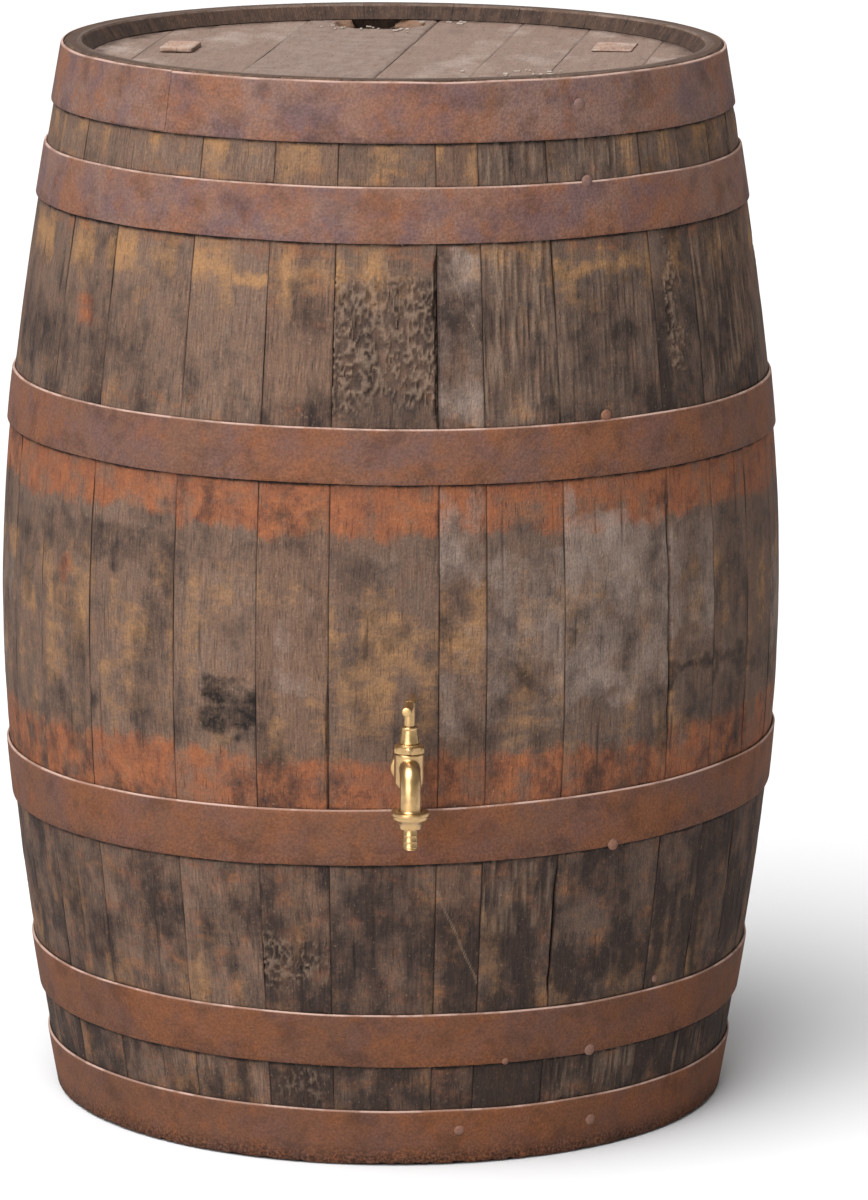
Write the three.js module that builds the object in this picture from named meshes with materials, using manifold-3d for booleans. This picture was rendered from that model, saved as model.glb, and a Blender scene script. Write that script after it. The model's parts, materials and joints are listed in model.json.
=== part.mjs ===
// Full-size oak cask, set on end and fitted out as a rain butt: staves, two heads, six steel
// hoops, a bung and a brass bib tap with a hose union. Millimetres, +Z up, tap facing -Y.
import * as THREE from "three";
import { mergeVertices } from "three/addons/utils/BufferGeometryUtils.js";
import Module from "manifold-3d";

const wasm = await Module();
wasm.setup();

// ---- driving dimensions -------------------------------------------------------------------

const FIT_GAP = 0.3; // air left between two pieces that touch

// cask
const CASK_HEIGHT = 900;
const BILGE_RADIUS = 331; // widest outside radius of the staves
const BILGE_HEIGHT = 430; // height of that widest ring
const FLARE = 0.211; // taper that the outline settles to towards the ends, as a slope
const BEND = 300; // half-height of the curved middle of the outline
const STAVE_THICKNESS = 27;
const FIRST_JOINT_DEG = -72.2; // stave 1 starts here, 0 is the front and + is to the right
// widths round the bilge, from stave 1 round past the front, the right, the back and the left
const STAVE_WIDTHS = [
  63, 72, 92, 75, 60, 89, 39, 67, 106, 57, 58, 62, 80, 66,
  95, 71, 58, 88, 76, 99, 64, 70, 84, 61, 78, 90, 67, 68,
];

// heads
const HEAD_RECESS = 13; // how far a head lies inside the ends of the staves
const HEAD_THICKNESS = 20;
const HEAD_EDGE = 8; // thickness left at the bevelled edge that sits in the croze
const HEAD_BEVEL = 30; // width of that bevel
const HEAD_TONGUE = 9; // width of the thin edge itself
const HEAD_CLEARANCE = 1.3; // radial play of a head in its croze
const RIM_INSET = 14; // stave wall left at the very end, where the chime is bevelled
const LIP_INSET = 24.4; // stave wall just outside the head
const CROZE_INSET = 18.6; // stave wall left behind the groove
const HEAD_TURN_DEG = -7.8; // the boards run front to back, turned clockwise by this
const TOP_HEAD_JOINTS = [-212, -107, 4, 81, 143, 214];
const BOTTOM_HEAD_JOINTS = [-176, -88, 6, 97, 181];
const DOWNPIPE_HOLE = { across: -43, along: 222, radius: 39 }; // in the boards' own directions

// hoops, top to bottom: lower and upper edge, drop from right to left, lap position
const HOOP_THICKNESS = 1.8;
const HOOP_CLEARANCE = 0.9;
const HOOP_STEPS = 60;
const HOOPS = [
  { name: "head_hoop_top", low: 850, high: 899, skew: 0, lapDeg: -47 },
  { name: "quarter_hoop_top", low: 771, high: 816, skew: 0, lapDeg: 152 },
  { name: "bilge_hoop_top", low: 579, high: 624, skew: 0, lapDeg: 168 },
  { name: "bilge_hoop_bottom", low: 264, high: 312, skew: 0.024, lapDeg: 204 },
  { name: "quarter_hoop_bottom", low: 88, high: 134, skew: 0, lapDeg: 188 },
  { name: "head_hoop_bottom", low: 1, high: 49, skew: 0, lapDeg: 142 },
];
const LAP_DEG = 14;
const RIVET_RADIUS = 5;
const RIVET_SPACING_DEG = 6;

// bung, at the back of the bilge
const BUNG_DEG = 178;
const BUNG_RADIUS = 25;
const BUNG_TAPER = 1.5; // the inner end is this much smaller in radius
const BUNG_LENGTH = 36;
const BUNG_PROUD = 6;

// bits fixed on the top head: [across, along] the boards, width, length, thickness
const PATCHES = [
  { name: "head_patch_left", x: -183, y: 8, width: 28, length: 52, thick: 3.5 },
  { name: "head_patch_right", x: 178, y: 82, width: 34, length: 58, thick: 1.5 },
];

// tap: heights are from the inlet's axis, reach is outwards from the stave's surface
const TAP_DEG = 2.4;
const TAP_HEIGHT = 349.5;
const CHAMBER_REACH = 40;
const SPOUT_REACH = 65;
const CHAMBER_RADIUS = 11.5;
const CHAMBER_TOP = 19.7;
const THREAD_RADIUS = 10.2; // half-inch pipe thread
const INLET_BORE = 6;
const SEAT_LOW = 6.5;
const SEAT_HIGH = 8.5;
const SEAT_BORE = 5;
const UPPER_BORE = 9.7;
const JUMPER_ROOM = 7.3; // bore of the bonnet round the jumper
const LOWER_BORE = 7;
const SPOUT_RADIUS = 7.7;
const SPOUT_BORE = 5.3;
const SPOUT_END = -31;
const SPINDLE_RADIUS = 4.05;
const HANDLE_HEIGHT = 58.5;
const HANDLE_LENGTH = 55;
const HANDLE_RADIUS = 3.4;
const HANDLE_TURN_DEG = -7.5;

// ---- finishes ------------------------------------------------------------------------------

const finish = (color, roughness, metalness) =>
  new THREE.MeshStandardMaterial({ color, roughness, metalness });
const FINISHES = {
  stave: finish("#6b5648", 0.8, 0),
  head: finish("#9b8a7e", 0.85, 0),
  hoop: finish("#7a4f3f", 0.75, 0.4),
  bung: finish("#a0835f", 0.8, 0),
  patch: finish("#c3a48f", 0.8, 0),
  brass: finish("#b98f4e", 0.3, 1),
  rubber: finish("#24211f", 0.9, 0),
};

const cask = new THREE.Group();
const rad = THREE.MathUtils.degToRad;

function addPiece(parent, name, geometry, material) {
  const mesh = new THREE.Mesh(geometry, material);
  mesh.name = name;
  parent.add(mesh);
  return mesh;
}

// ---- shapes --------------------------------------------------------------------------------

// Outside radius of the staves at a height: an arc round the bilge that runs out straight.
function caskRadius(z) {
  const run = Math.hypot(z - BILGE_HEIGHT, BEND) - BEND;
  return BILGE_RADIUS - FLARE * run;
}

// A closed profile of [radius, z] points, anticlockwise, carried round the Z axis. profileAt
// gives the profile at an angle from the front; a part turn gets a flat cap at each end.
function sweep(profileAt, startDeg, turnDeg, steps) {
  const whole = turnDeg === 360;
  const rings = whole ? steps : steps + 1;
  const positions = [];
  for (let i = 0; i < rings; i++) {
    const angle = rad(startDeg + (turnDeg * i) / steps);
    for (const [r, z] of profileAt(angle)) {
      positions.push(r * Math.sin(angle), -r * Math.cos(angle), z);
    }
  }
  const outline = profileAt(rad(startDeg)).map(([r, z]) => new THREE.Vector2(r, z));
  const count = outline.length;
  const index = [];
  for (let i = 0; i < steps; i++) {
    const here = i * count;
    const next = ((i + 1) % rings) * count;
    for (let j = 0; j < count; j++) {
      const k = (j + 1) % count;
      index.push(here + j, next + j, next + k, here + j, next + k, here + k);
    }
  }
  if (!whole) {
    const last = steps * count;
    for (const [a, b, c] of THREE.ShapeUtils.triangulateShape(outline, [])) {
      index.push(a, b, c, last + a, last + c, last + b);
    }
  }
  const geometry = new THREE.BufferGeometry();
  geometry.setAttribute("position", new THREE.Float32BufferAttribute(positions, 3));
  geometry.setIndex(index);
  return geometry;
}

// A profile of [radius, height] points turned round the Z axis.
function turned(profile, segments = 20) {
  const points = profile.map(([r, z]) => new THREE.Vector2(r, z));
  return new THREE.LatheGeometry(points, segments).rotateX(Math.PI / 2);
}

// The same, round the line that runs out of the cask: the second number is the reach.
function turnedOutwards(profile, segments = 20) {
  return turned(profile, segments).rotateX(Math.PI / 2);
}

// A plain cylinder profile between two heights.
const rod = (radius, low, high) => [[0, low], [radius, low], [radius, high], [0, high]];

// A ring profile between two heights, closed on itself.
const ring = (inner, outer, low, high) => [
  [inner, low], [outer, low], [outer, high], [inner, high], [inner, low],
];

function hexagon(acrossCorners, thickness) {
  const shape = new THREE.Shape();
  for (let i = 0; i < 6; i++) {
    const angle = rad(60 * i);
    const x = (acrossCorners / 2) * Math.cos(angle);
    const y = (acrossCorners / 2) * Math.sin(angle);
    if (i === 0) shape.moveTo(x, y);
    else shape.lineTo(x, y);
  }
  shape.closePath();
  return new THREE.ExtrudeGeometry(shape, { depth: thickness, bevelEnabled: false });
}

// ---- joining and cutting -------------------------------------------------------------------

function solid(geometry) {
  const bare = geometry.clone();
  bare.deleteAttribute("normal");
  bare.deleteAttribute("uv");
  const merged = mergeVertices(bare, 1e-4);
  const mesh = new wasm.Mesh({
    numProp: 3,
    vertProperties: new Float32Array(merged.attributes.position.array),
    triVerts: new Uint32Array(merged.index.array),
  });
  return new wasm.Manifold(mesh);
}

function geometryOf(manifold) {
  const mesh = manifold.getMesh();
  const geometry = new THREE.BufferGeometry();
  geometry.setAttribute("position", new THREE.Float32BufferAttribute(mesh.vertProperties, 3));
  geometry.setIndex(Array.from(mesh.triVerts));
  return geometry;
}

// The geometries joined together, less the geometries to cut away.
function build(joined, cut = []) {
  let result = solid(joined[0]);
  for (const geometry of joined.slice(1)) result = result.add(solid(geometry));
  for (const geometry of cut) result = result.subtract(solid(geometry));
  return geometryOf(result);
}

// ---- staves --------------------------------------------------------------------------------

// Inner side of one end, from the end towards the middle: chime bevel, lip, croze, wall.
function staveEndProfile(end, inwards) {
  const at = (depth, inset) => {
    const z = end + inwards * depth;
    return [caskRadius(z) - inset, z];
  };
  const grooveStart = HEAD_RECESS - FIT_GAP;
  const grooveEnd = HEAD_RECESS + HEAD_EDGE + FIT_GAP;
  return [
    at(0, RIM_INSET),
    at(grooveStart - 0.1, LIP_INSET),
    at(grooveStart, CROZE_INSET),
    at(grooveEnd, CROZE_INSET),
    at(grooveEnd + 0.1, STAVE_THICKNESS),
  ];
}

function staveProfile() {
  const outside = [0, 65, 145, 240, 335, 430, 525, 620, 715, 810, CASK_HEIGHT];
  const inside = [725, 525, 335, 135];
  return [
    ...outside.map((z) => [caskRadius(z), z]),
    ...staveEndProfile(CASK_HEIGHT, -1),
    ...inside.map((z) => [caskRadius(z) - STAVE_THICKNESS, z]),
    ...staveEndProfile(0, 1).reverse(),
  ];
}

// A group whose -Y axis points outwards at an angle round the cask, at a height.
function outwardFrame(deg, height, radius) {
  const frame = new THREE.Group();
  const angle = rad(deg);
  frame.rotation.z = angle;
  frame.position.set(radius * Math.sin(angle), -radius * Math.cos(angle), height);
  frame.updateMatrix();
  return frame;
}

const tapFrame = outwardFrame(TAP_DEG, TAP_HEIGHT, caskRadius(TAP_HEIGHT));
const bungFrame = outwardFrame(BUNG_DEG, BILGE_HEIGHT, caskRadius(BILGE_HEIGHT));

const bungProfile = (gap) => {
  const inner = BUNG_PROUD - BUNG_LENGTH;
  const slope = BUNG_TAPER / BUNG_LENGTH;
  const reach = gap ? 2 : 0; // the hole runs on past both ends of the bung
  const low = inner - 6 * reach;
  const high = BUNG_PROUD + reach;
  const radiusAt = (z) => BUNG_RADIUS + gap + slope * (z - BUNG_PROUD);
  return [[0, low], [radiusAt(low), low], [radiusAt(high), high], [0, high]];
};
const tapHole = turnedOutwards(rod(THREAD_RADIUS + FIT_GAP, -60, 20)).applyMatrix4(tapFrame.matrix);
const bungHole = turnedOutwards(bungProfile(FIT_GAP)).applyMatrix4(bungFrame.matrix);

const holeInStave = [
  { deg: TAP_DEG, cutter: tapHole },
  { deg: BUNG_DEG, cutter: bungHole },
];

const girth = STAVE_WIDTHS.reduce((sum, width) => sum + width, 0);
const mmPerDegree = rad(1) * (caskRadius(0) - STAVE_THICKNESS); // where the joints are tightest
const jointInset = (FIT_GAP / 2) / mmPerDegree; // degrees off each side of a stave
let start = FIRST_JOINT_DEG;
STAVE_WIDTHS.forEach((width, i) => {
  const turn = (360 * width) / girth;
  const profile = staveProfile();
  const body = sweep(() => profile, start + jointInset, turn - 2 * jointInset, 2);
  const holes = holeInStave.filter(({ deg }) => deg > start && deg < start + turn);
  const name = `stave_${String(i + 1).padStart(2, "0")}`;
  const shape = holes.length ? build([body], holes.map(({ cutter }) => cutter)) : body;
  addPiece(cask, name, shape, FINISHES.stave);
  start += turn;
});

// ---- heads ---------------------------------------------------------------------------------

// One head as a whole disc, bevelled on its inner side; outer face at z = 0, body below it.
function headDisc(end, inwards) {
  const edge = caskRadius(end + inwards * HEAD_RECESS) - CROZE_INSET - HEAD_CLEARANCE;
  return turned([
    [0, -HEAD_THICKNESS],
    [edge - HEAD_BEVEL, -HEAD_THICKNESS],
    [edge - HEAD_TONGUE, -HEAD_EDGE],
    [edge, -HEAD_EDGE],
    [edge, 0],
    [0, 0],
  ], 60);
}

// The boards of a head, cut from the disc between the joint lines.
function headBoards(disc, joints) {
  const reach = BILGE_RADIUS;
  const edges = [-reach, ...joints, reach];
  const whole = solid(disc);
  return edges.slice(1).map((right, i) => {
    const low = edges[i] + FIT_GAP / 2;
    const high = right - FIT_GAP / 2;
    const slab = new THREE.BoxGeometry(high - low, 2 * reach, 4 * HEAD_THICKNESS);
    slab.translate((low + high) / 2, 0, 0);
    return geometryOf(whole.intersect(solid(slab)));
  });
}

const topHead = new THREE.Group();
topHead.rotation.z = rad(HEAD_TURN_DEG);
topHead.position.z = CASK_HEIGHT - HEAD_RECESS;
cask.add(topHead);
const downpipeCutter = turned(rod(DOWNPIPE_HOLE.radius, -2 * HEAD_THICKNESS, HEAD_THICKNESS), 28);
downpipeCutter.translate(DOWNPIPE_HOLE.across, DOWNPIPE_HOLE.along, 0);
const holeBoard = TOP_HEAD_JOINTS.findIndex((joint) => joint > DOWNPIPE_HOLE.across);
headBoards(headDisc(CASK_HEIGHT, -1), TOP_HEAD_JOINTS).forEach((board, i) => {
  const shape = i === holeBoard ? build([board], [downpipeCutter]) : board;
  addPiece(topHead, `top_head_board_${i + 1}`, shape, FINISHES.head);
});

const bottomHead = new THREE.Group();
bottomHead.rotation.x = Math.PI;
bottomHead.position.z = HEAD_RECESS;
cask.add(bottomHead);
headBoards(headDisc(0, 1), BOTTOM_HEAD_JOINTS).forEach((board, i) => {
  addPiece(bottomHead, `bottom_head_board_${i + 1}`, board, FINISHES.head);
});

for (const { name, x, y, width, length, thick } of PATCHES) {
  const patch = addPiece(topHead, name, new THREE.BoxGeometry(width, length, thick), FINISHES.patch);
  const flat = new THREE.Vector2(x, y).rotateAround(new THREE.Vector2(), -rad(HEAD_TURN_DEG));
  patch.position.set(flat.x, flat.y, FIT_GAP + thick / 2);
}

// ---- hoops ---------------------------------------------------------------------------------

// Section of a hoop between two offsets from the staves; a skewed hoop rides higher on the right.
function hoopSection({ low, high, skew }, inner, outer) {
  return (angle) => {
    const lift = skew * BILGE_RADIUS * Math.sin(angle);
    const bottom = low + lift;
    const top = high + lift;
    return [
      [caskRadius(bottom) + inner, bottom],
      [caskRadius(bottom) + outer, bottom],
      [caskRadius(top) + outer, top],
      [caskRadius(top) + inner, top],
    ];
  };
}

for (const hoop of HOOPS) {
  const face = HOOP_CLEARANCE + HOOP_THICKNESS;
  const band = sweep(hoopSection(hoop, HOOP_CLEARANCE, face), 0, 360, HOOP_STEPS);
  const lapStart = hoop.lapDeg - LAP_DEG / 2;
  const lapSection = hoopSection(hoop, face - HOOP_THICKNESS / 2, face + HOOP_THICKNESS);
  const lap = sweep(lapSection, lapStart, LAP_DEG, 3);
  const rivets = [-1, 1].map((side) => {
    const deg = hoop.lapDeg + (side * RIVET_SPACING_DEG) / 2;
    const height = (hoop.low + hoop.high) / 2 + hoop.skew * BILGE_RADIUS * Math.sin(rad(deg));
    const frame = outwardFrame(deg, height, caskRadius(height) + face);
    const head = turnedOutwards(rod(RIVET_RADIUS, 0, HOOP_THICKNESS + 2), 8);
    return head.applyMatrix4(frame.matrix);
  });
  addPiece(cask, hoop.name, build([band, lap, ...rivets]), FINISHES.hoop);
}

// ---- bung ----------------------------------------------------------------------------------

cask.add(bungFrame);
addPiece(bungFrame, "bung", turnedOutwards(bungProfile(0)), FINISHES.bung);

// ---- tap -----------------------------------------------------------------------------------

cask.add(tapFrame);
const chamber = new THREE.Group(); // on the axis of the spindle
chamber.position.y = -CHAMBER_REACH;
tapFrame.add(chamber);
const spoutEnd = new THREE.Group(); // on the axis of the spout
spoutEnd.position.y = -SPOUT_REACH;
tapFrame.add(spoutEnd);

// Round bar along the spout's path, from the chamber forwards and down.
function spoutTube(radius, startReach, startHeight, endHeight) {
  const path = new THREE.CubicBezierCurve3(
    new THREE.Vector3(0, -startReach, startHeight),
    new THREE.Vector3(0, -SPOUT_REACH + 4, startHeight),
    new THREE.Vector3(0, -SPOUT_REACH, startHeight - 4),
    new THREE.Vector3(0, -SPOUT_REACH, endHeight),
  );
  const section = new THREE.Shape().absarc(0, 0, radius, 0, 2 * Math.PI, false);
  return new THREE.ExtrudeGeometry(section, {
    steps: 8,
    curveSegments: 8,
    extrudePath: path,
  });
}

const atChamber = (geometry) => geometry.translate(0, -CHAMBER_REACH, 0);
const atSpout = (geometry) => geometry.translate(0, -SPOUT_REACH, 0);

const bodyOutside = [
  turnedOutwards([ // threaded tail, flange and neck
    [0, -48], [THREAD_RADIUS, -48], [THREAD_RADIUS, 4.5], [13, 4.5], [13, 8.5], [11.5, 10],
    [8.5, 10], [8.5, CHAMBER_REACH], [0, CHAMBER_REACH],
  ]),
  atChamber(turned([
    [0, -12], [5, -11.5], [9, -9.5], [CHAMBER_RADIUS, -5],
    [CHAMBER_RADIUS, CHAMBER_TOP], [0, CHAMBER_TOP],
  ])),
  spoutTube(SPOUT_RADIUS, CHAMBER_REACH, 8, SPOUT_END),
  atSpout(turned(rod(9, SPOUT_END, -23))),
];
const bodyInside = [
  turnedOutwards(rod(INLET_BORE, -50, CHAMBER_REACH - 3), 14),
  atChamber(turned(rod(LOWER_BORE, -7.5, SEAT_LOW), 14)),
  atChamber(turned(rod(SEAT_BORE, SEAT_LOW - 1, SEAT_HIGH + 1), 14)),
  atChamber(turned(rod(UPPER_BORE, SEAT_HIGH, CHAMBER_TOP + 1))),
  spoutTube(SPOUT_BORE, CHAMBER_REACH + 8.8, SEAT_HIGH + 0.5, SPOUT_END - 1),
];
addPiece(tapFrame, "tap_body", build(bodyOutside, bodyInside), FINISHES.brass);

addPiece(
  tapFrame,
  "tap_wall_washer",
  turnedOutwards(ring(THREAD_RADIUS + FIT_GAP, 14, 1.4, 4.2)),
  FINISHES.rubber,
);

const nutThickness = 8;
const nutReach = -(STAVE_THICKNESS + 2.2); // its face towards the stave
const backNut = build(
  [hexagon(34, nutThickness).rotateX(Math.PI / 2).translate(0, nutThickness - nutReach, 0)],
  [turnedOutwards(rod(THREAD_RADIUS + FIT_GAP, nutReach - 20, nutReach + 20))],
);
addPiece(tapFrame, "tap_back_nut", backNut, FINISHES.brass);

// Jumper valve: a rubber washer under a brass plate, whose stem stands in the spindle.
addPiece(
  chamber,
  "tap_jumper_washer",
  turned(ring(1.9, 6.6, SEAT_HIGH + FIT_GAP, 11), 16),
  FINISHES.rubber,
);
addPiece(chamber, "tap_jumper", turned([
  [0, 9.2], [1.6, 9.2], [1.6, 11.3], [6.8, 11.3], [6.8, 13.2], [2.2, 13.2], [2.2, 18.5], [0, 18.5],
], 16), FINISHES.brass);

// Spindle: bored for the stem, shouldered under the bonnet, with a tee bar through its head.
const spindleBar = turned([
  [0, -HANDLE_LENGTH / 2], [2.6, -HANDLE_LENGTH / 2], [HANDLE_RADIUS, -HANDLE_LENGTH / 2 + 1],
  [HANDLE_RADIUS, HANDLE_LENGTH / 2 - 1], [2.6, HANDLE_LENGTH / 2], [0, HANDLE_LENGTH / 2],
], 14).rotateX(Math.PI / 2).rotateZ(rad(HANDLE_TURN_DEG)).translate(0, 0, HANDLE_HEIGHT);
const spindle = build([
  turned([
    [0, 13.6], [5.5, 13.6], [5.5, 19.4], [SPINDLE_RADIUS, 19.4], [SPINDLE_RADIUS, 60.5],
    [3.3, 62.2], [0, 63],
  ]),
  spindleBar,
], [turned(rod(2.6, 12, 19.4), 14)]);
addPiece(chamber, "tap_spindle", spindle, FINISHES.brass);

// Bonnet: spigot in the chamber, hexagon, and a boss that the gland nut covers.
const bonnet = build([
  turned(rod(UPPER_BORE - FIT_GAP, 14, 22)),
  hexagon(27.5, 5.2).translate(0, 0, 20),
  turned([[0, 24], [13.2, 25.1], [9.2, 27], [0, 27]]),
  turned(rod(5.8, 26, 34)),
], [
  turned(rod(JUMPER_ROOM, 13, 18.8)), // the jumper rises into this
  turned(rod(6, 13, 25)),
  turned(rod(SPINDLE_RADIUS + FIT_GAP, 24, 36)),
]);
addPiece(chamber, "tap_bonnet", bonnet, FINISHES.brass);

addPiece(chamber, "tap_gland_nut", turned([
  [6.1, 27.3], [7, 27.3], [6.8, 29], [5.2, 40], [4.8, 41], [SPINDLE_RADIUS + FIT_GAP, 41],
  [SPINDLE_RADIUS + FIT_GAP, 34.3], [6.1, 34.3], [6.1, 27.3],
]), FINISHES.brass);

// Union nut: threaded over the spout, with a lip under the flange of the hose tail.
addPiece(spoutEnd, "hose_union_nut", turned([
  [9.3, -22.8], [14.3, -22.8], [15, -23.6], [15, -27.2], [14.2, -28], [13.4, -31], [10.5, -35.2],
  [9, -37.3], [6.8, -37.3], [6.8, -34.9], [9.3, -34.9], [9.3, -22.8],
].reverse(), 28), FINISHES.brass);

const tailBarbs = [0, 1, 2].flatMap((i) => {
  const top = -38.5 - 5 * i;
  return [[5.5, top], [6.45, top - 3.8], [5.5, top - 4.9]];
});
addPiece(spoutEnd, "hose_tail", turned([
  [3.9, -31.4], [8.9, -31.4], [8.9, -34.6], [5.5, -34.6], ...tailBarbs,
  [5.9, -54.2], [3.9, -54.2], [3.9, -31.4],
].reverse()), FINISHES.brass);

// ---- placing -------------------------------------------------------------------------------

// The origin lies on the floor under the middle of the overall box, tap and bung included.
const box = new THREE.Box3().setFromObject(cask);
cask.position.set(-(box.min.x + box.max.x) / 2, -(box.min.y + box.max.y) / 2, -box.min.z);

export default cask;
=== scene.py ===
"""Full-size oak cask stood on end as a rain butt: weathered staves, rusted steel hoops, two heads, a bung
and a brass bib tap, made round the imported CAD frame. Lengths are millimetres until a mesh is made."""

import json
import math

import bpy
import numpy as np
from mathutils import Matrix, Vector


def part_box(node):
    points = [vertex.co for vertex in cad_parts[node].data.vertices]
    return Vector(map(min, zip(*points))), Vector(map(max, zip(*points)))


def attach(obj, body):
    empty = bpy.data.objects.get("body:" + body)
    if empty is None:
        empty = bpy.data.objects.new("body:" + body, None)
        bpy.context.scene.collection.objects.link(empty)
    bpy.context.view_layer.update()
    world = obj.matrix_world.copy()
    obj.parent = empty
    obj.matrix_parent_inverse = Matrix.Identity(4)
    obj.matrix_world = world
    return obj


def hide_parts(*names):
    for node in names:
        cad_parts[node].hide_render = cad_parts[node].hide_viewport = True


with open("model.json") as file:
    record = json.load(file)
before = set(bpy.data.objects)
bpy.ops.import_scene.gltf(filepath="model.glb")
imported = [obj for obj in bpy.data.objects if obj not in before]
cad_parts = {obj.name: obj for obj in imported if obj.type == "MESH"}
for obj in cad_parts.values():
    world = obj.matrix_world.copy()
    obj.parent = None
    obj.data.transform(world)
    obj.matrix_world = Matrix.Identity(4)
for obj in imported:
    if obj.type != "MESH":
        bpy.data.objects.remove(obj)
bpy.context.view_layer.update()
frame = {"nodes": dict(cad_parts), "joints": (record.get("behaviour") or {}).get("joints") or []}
scene = bpy.context.scene

# ---- Where the cask stands ------------------------------------------------------------------
# The cask's own axis is the middle of its round top hoop. Its staves follow one outline, widest at the
# bilge and running out to a straight taper at both ends.

hoop_low, hoop_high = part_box("head_hoop_top")
AXIS_X = 500 * (hoop_low.x + hoop_high.x)
AXIS_Y = 500 * (hoop_low.y + hoop_high.y)
CASK_HEIGHT = 1000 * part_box("stave_01")[1].z
BILGE_RADIUS = 331
BILGE_HEIGHT = 430
FLARE = 0.211
BEND = 300


def outline(z):
    """Outside radius of the staves at a height: the bilge's radius less a hyperbola's rise."""
    return BILGE_RADIUS - FLARE * (np.hypot(z - BILGE_HEIGHT, BEND) - BEND)


def around(radius, turn, z):
    """Points at a radius from the cask's axis, turned from the front towards the right, at a height."""
    radius, turn, z = np.broadcast_arrays(radius, turn, z)
    return np.stack([AXIS_X + radius * np.sin(turn), AXIS_Y - radius * np.cos(turn), z], -1)


# ---- Camera, floor and light ----------------------------------------------------------------
# A long lens a little above the rim, looking down at the bilge. A white floor, one broad soft sun from
# the upper left, a wide soft box beside the camera and a weak fill from behind.

camera = bpy.data.objects.new("camera", bpy.data.cameras.new("camera"))
scene.collection.objects.link(camera)
scene.camera = camera
camera.data.lens = 203.5
camera.data.sensor_width = 36
camera.data.clip_end = 100
CAMERA_BACK, CAMERA_HEIGHT = 5.683, 1.579
camera.location = (AXIS_X / 1000, AXIS_Y / 1000 - CAMERA_BACK, CAMERA_HEIGHT)
LOOK_DOWN, LOOK_RIGHT, ROLL = 11.537, 0.372, 0.37
look = Matrix.Rotation(math.radians(-LOOK_RIGHT), 3, "Z")
look @= Matrix.Rotation(math.radians(90 - LOOK_DOWN), 3, "X")
look @= Matrix.Rotation(math.radians(ROLL), 3, "Z")
camera.rotation_euler = look.to_euler()


def linear(colour):
    """An sRGB hex colour as linear red, green, blue and alpha."""
    parts = [int(colour[i : i + 2], 16) / 255 for i in (1, 3, 5)]
    return (*(c / 12.92 if c <= 0.04045 else ((c + 0.055) / 1.055) ** 2.4 for c in parts), 1)


def add(tree, kind, inputs=(), **settings):
    """Adds a node with its settings; inputs gives each socket, by name or number, a value or a link."""
    made = tree.nodes.new("ShaderNode" + kind)
    for key, value in settings.items():
        setattr(made, key, value)
    for socket, value in dict(inputs).items():
        if isinstance(value, bpy.types.NodeSocket):
            tree.links.new(value, made.inputs[socket])
        else:
            made.inputs[socket].default_value = value
    return made


def new_material(name):
    """An empty node material: its tree and its output node."""
    material = bpy.data.materials.new(name)
    material.use_nodes = True
    material.node_tree.nodes.clear()
    return material, material.node_tree, material.node_tree.nodes.new("ShaderNodeOutputMaterial")


floor_paint, tree, output = new_material("matt white studio floor")
surface = add(tree, "BsdfDiffuse", {"Color": (0.6, 0.6, 0.607, 1)})
tree.links.new(surface.outputs[0], output.inputs[0])
FLOOR_SIZE = 60
floor_mesh = bpy.data.meshes.new("floor")
half = FLOOR_SIZE / 2
corners = [(-half, -half, 0), (half, -half, 0), (half, half, 0), (-half, half, 0)]
floor_mesh.from_pydata(corners, [], [(0, 1, 2, 3)])
floor_mesh.materials.append(floor_paint)
floor = bpy.data.objects.new("floor", floor_mesh)
scene.collection.objects.link(floor)

scene.view_settings.view_transform = "Standard"
world = bpy.data.worlds.new("pale studio")
scene.world = world
world.use_nodes = True
world.node_tree.nodes["Background"].inputs["Color"].default_value = (1, 0.985, 0.965, 1)
world.node_tree.nodes["Background"].inputs["Strength"].default_value = 0.3


LIT_HEIGHT = 0.45  # metres up: the cask's middle


def shine(name, kind, turn, rise, distance, strength, size):
    """A light that faces the cask's middle from a direction, degrees round from the front and up, and a
    distance. The size is a sun's angle in degrees or a box's two sides in metres."""
    data = bpy.data.lights.new(name, kind)
    lamp = bpy.data.objects.new(name, data)
    scene.collection.objects.link(lamp)
    data.energy = strength
    if kind == "SUN":
        data.angle = math.radians(size)
    else:
        data.shape = "RECTANGLE"
        data.size, data.size_y = size
    aim = Matrix.Rotation(math.radians(turn), 3, "Z") @ Matrix.Rotation(math.radians(90 - rise), 3, "X")
    lamp.rotation_euler = aim.to_euler()
    back = aim @ Matrix.Identity(3).col[2]
    middle = (AXIS_X / 1000, AXIS_Y / 1000, LIT_HEIGHT)
    lamp.location = [centre + step * distance for centre, step in zip(middle, back)]


shine("upper_left_sun", "SUN", -40, 63, 6, 4.9, 50)
shine("soft_box", "AREA", -23, 14, 4.5, 112, (3.2, 2.1))
shine("back_fill", "SUN", 172, 35, 6, 0.8, 60)

# ---- Staves ---------------------------------------------------------------------------------
# Twenty-eight staves of riven oak, 27 mm thick, jointed to fit each other and bent over a fire; only the
# hoops hold them. Outdoors the grain stands up in ribs, charred patches blister, and rust from the hoops
# leaves orange bands.


def lattice(column, row, seed):
    """A repeatable random number from -1 to 1 for each whole-numbered point of a grid: its place and the
    seed, stirred by large odd numbers."""
    mixed = (column * 374761393 + row * 668265263 + seed * 974634777) & 0xFFFFFFFF
    mixed = ((mixed ^ (mixed >> 13)) * 1274126177) & 0xFFFFFFFF
    return ((mixed ^ (mixed >> 16)) & 0xFFFFFF) / 0x7FFFFF - 1


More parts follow.
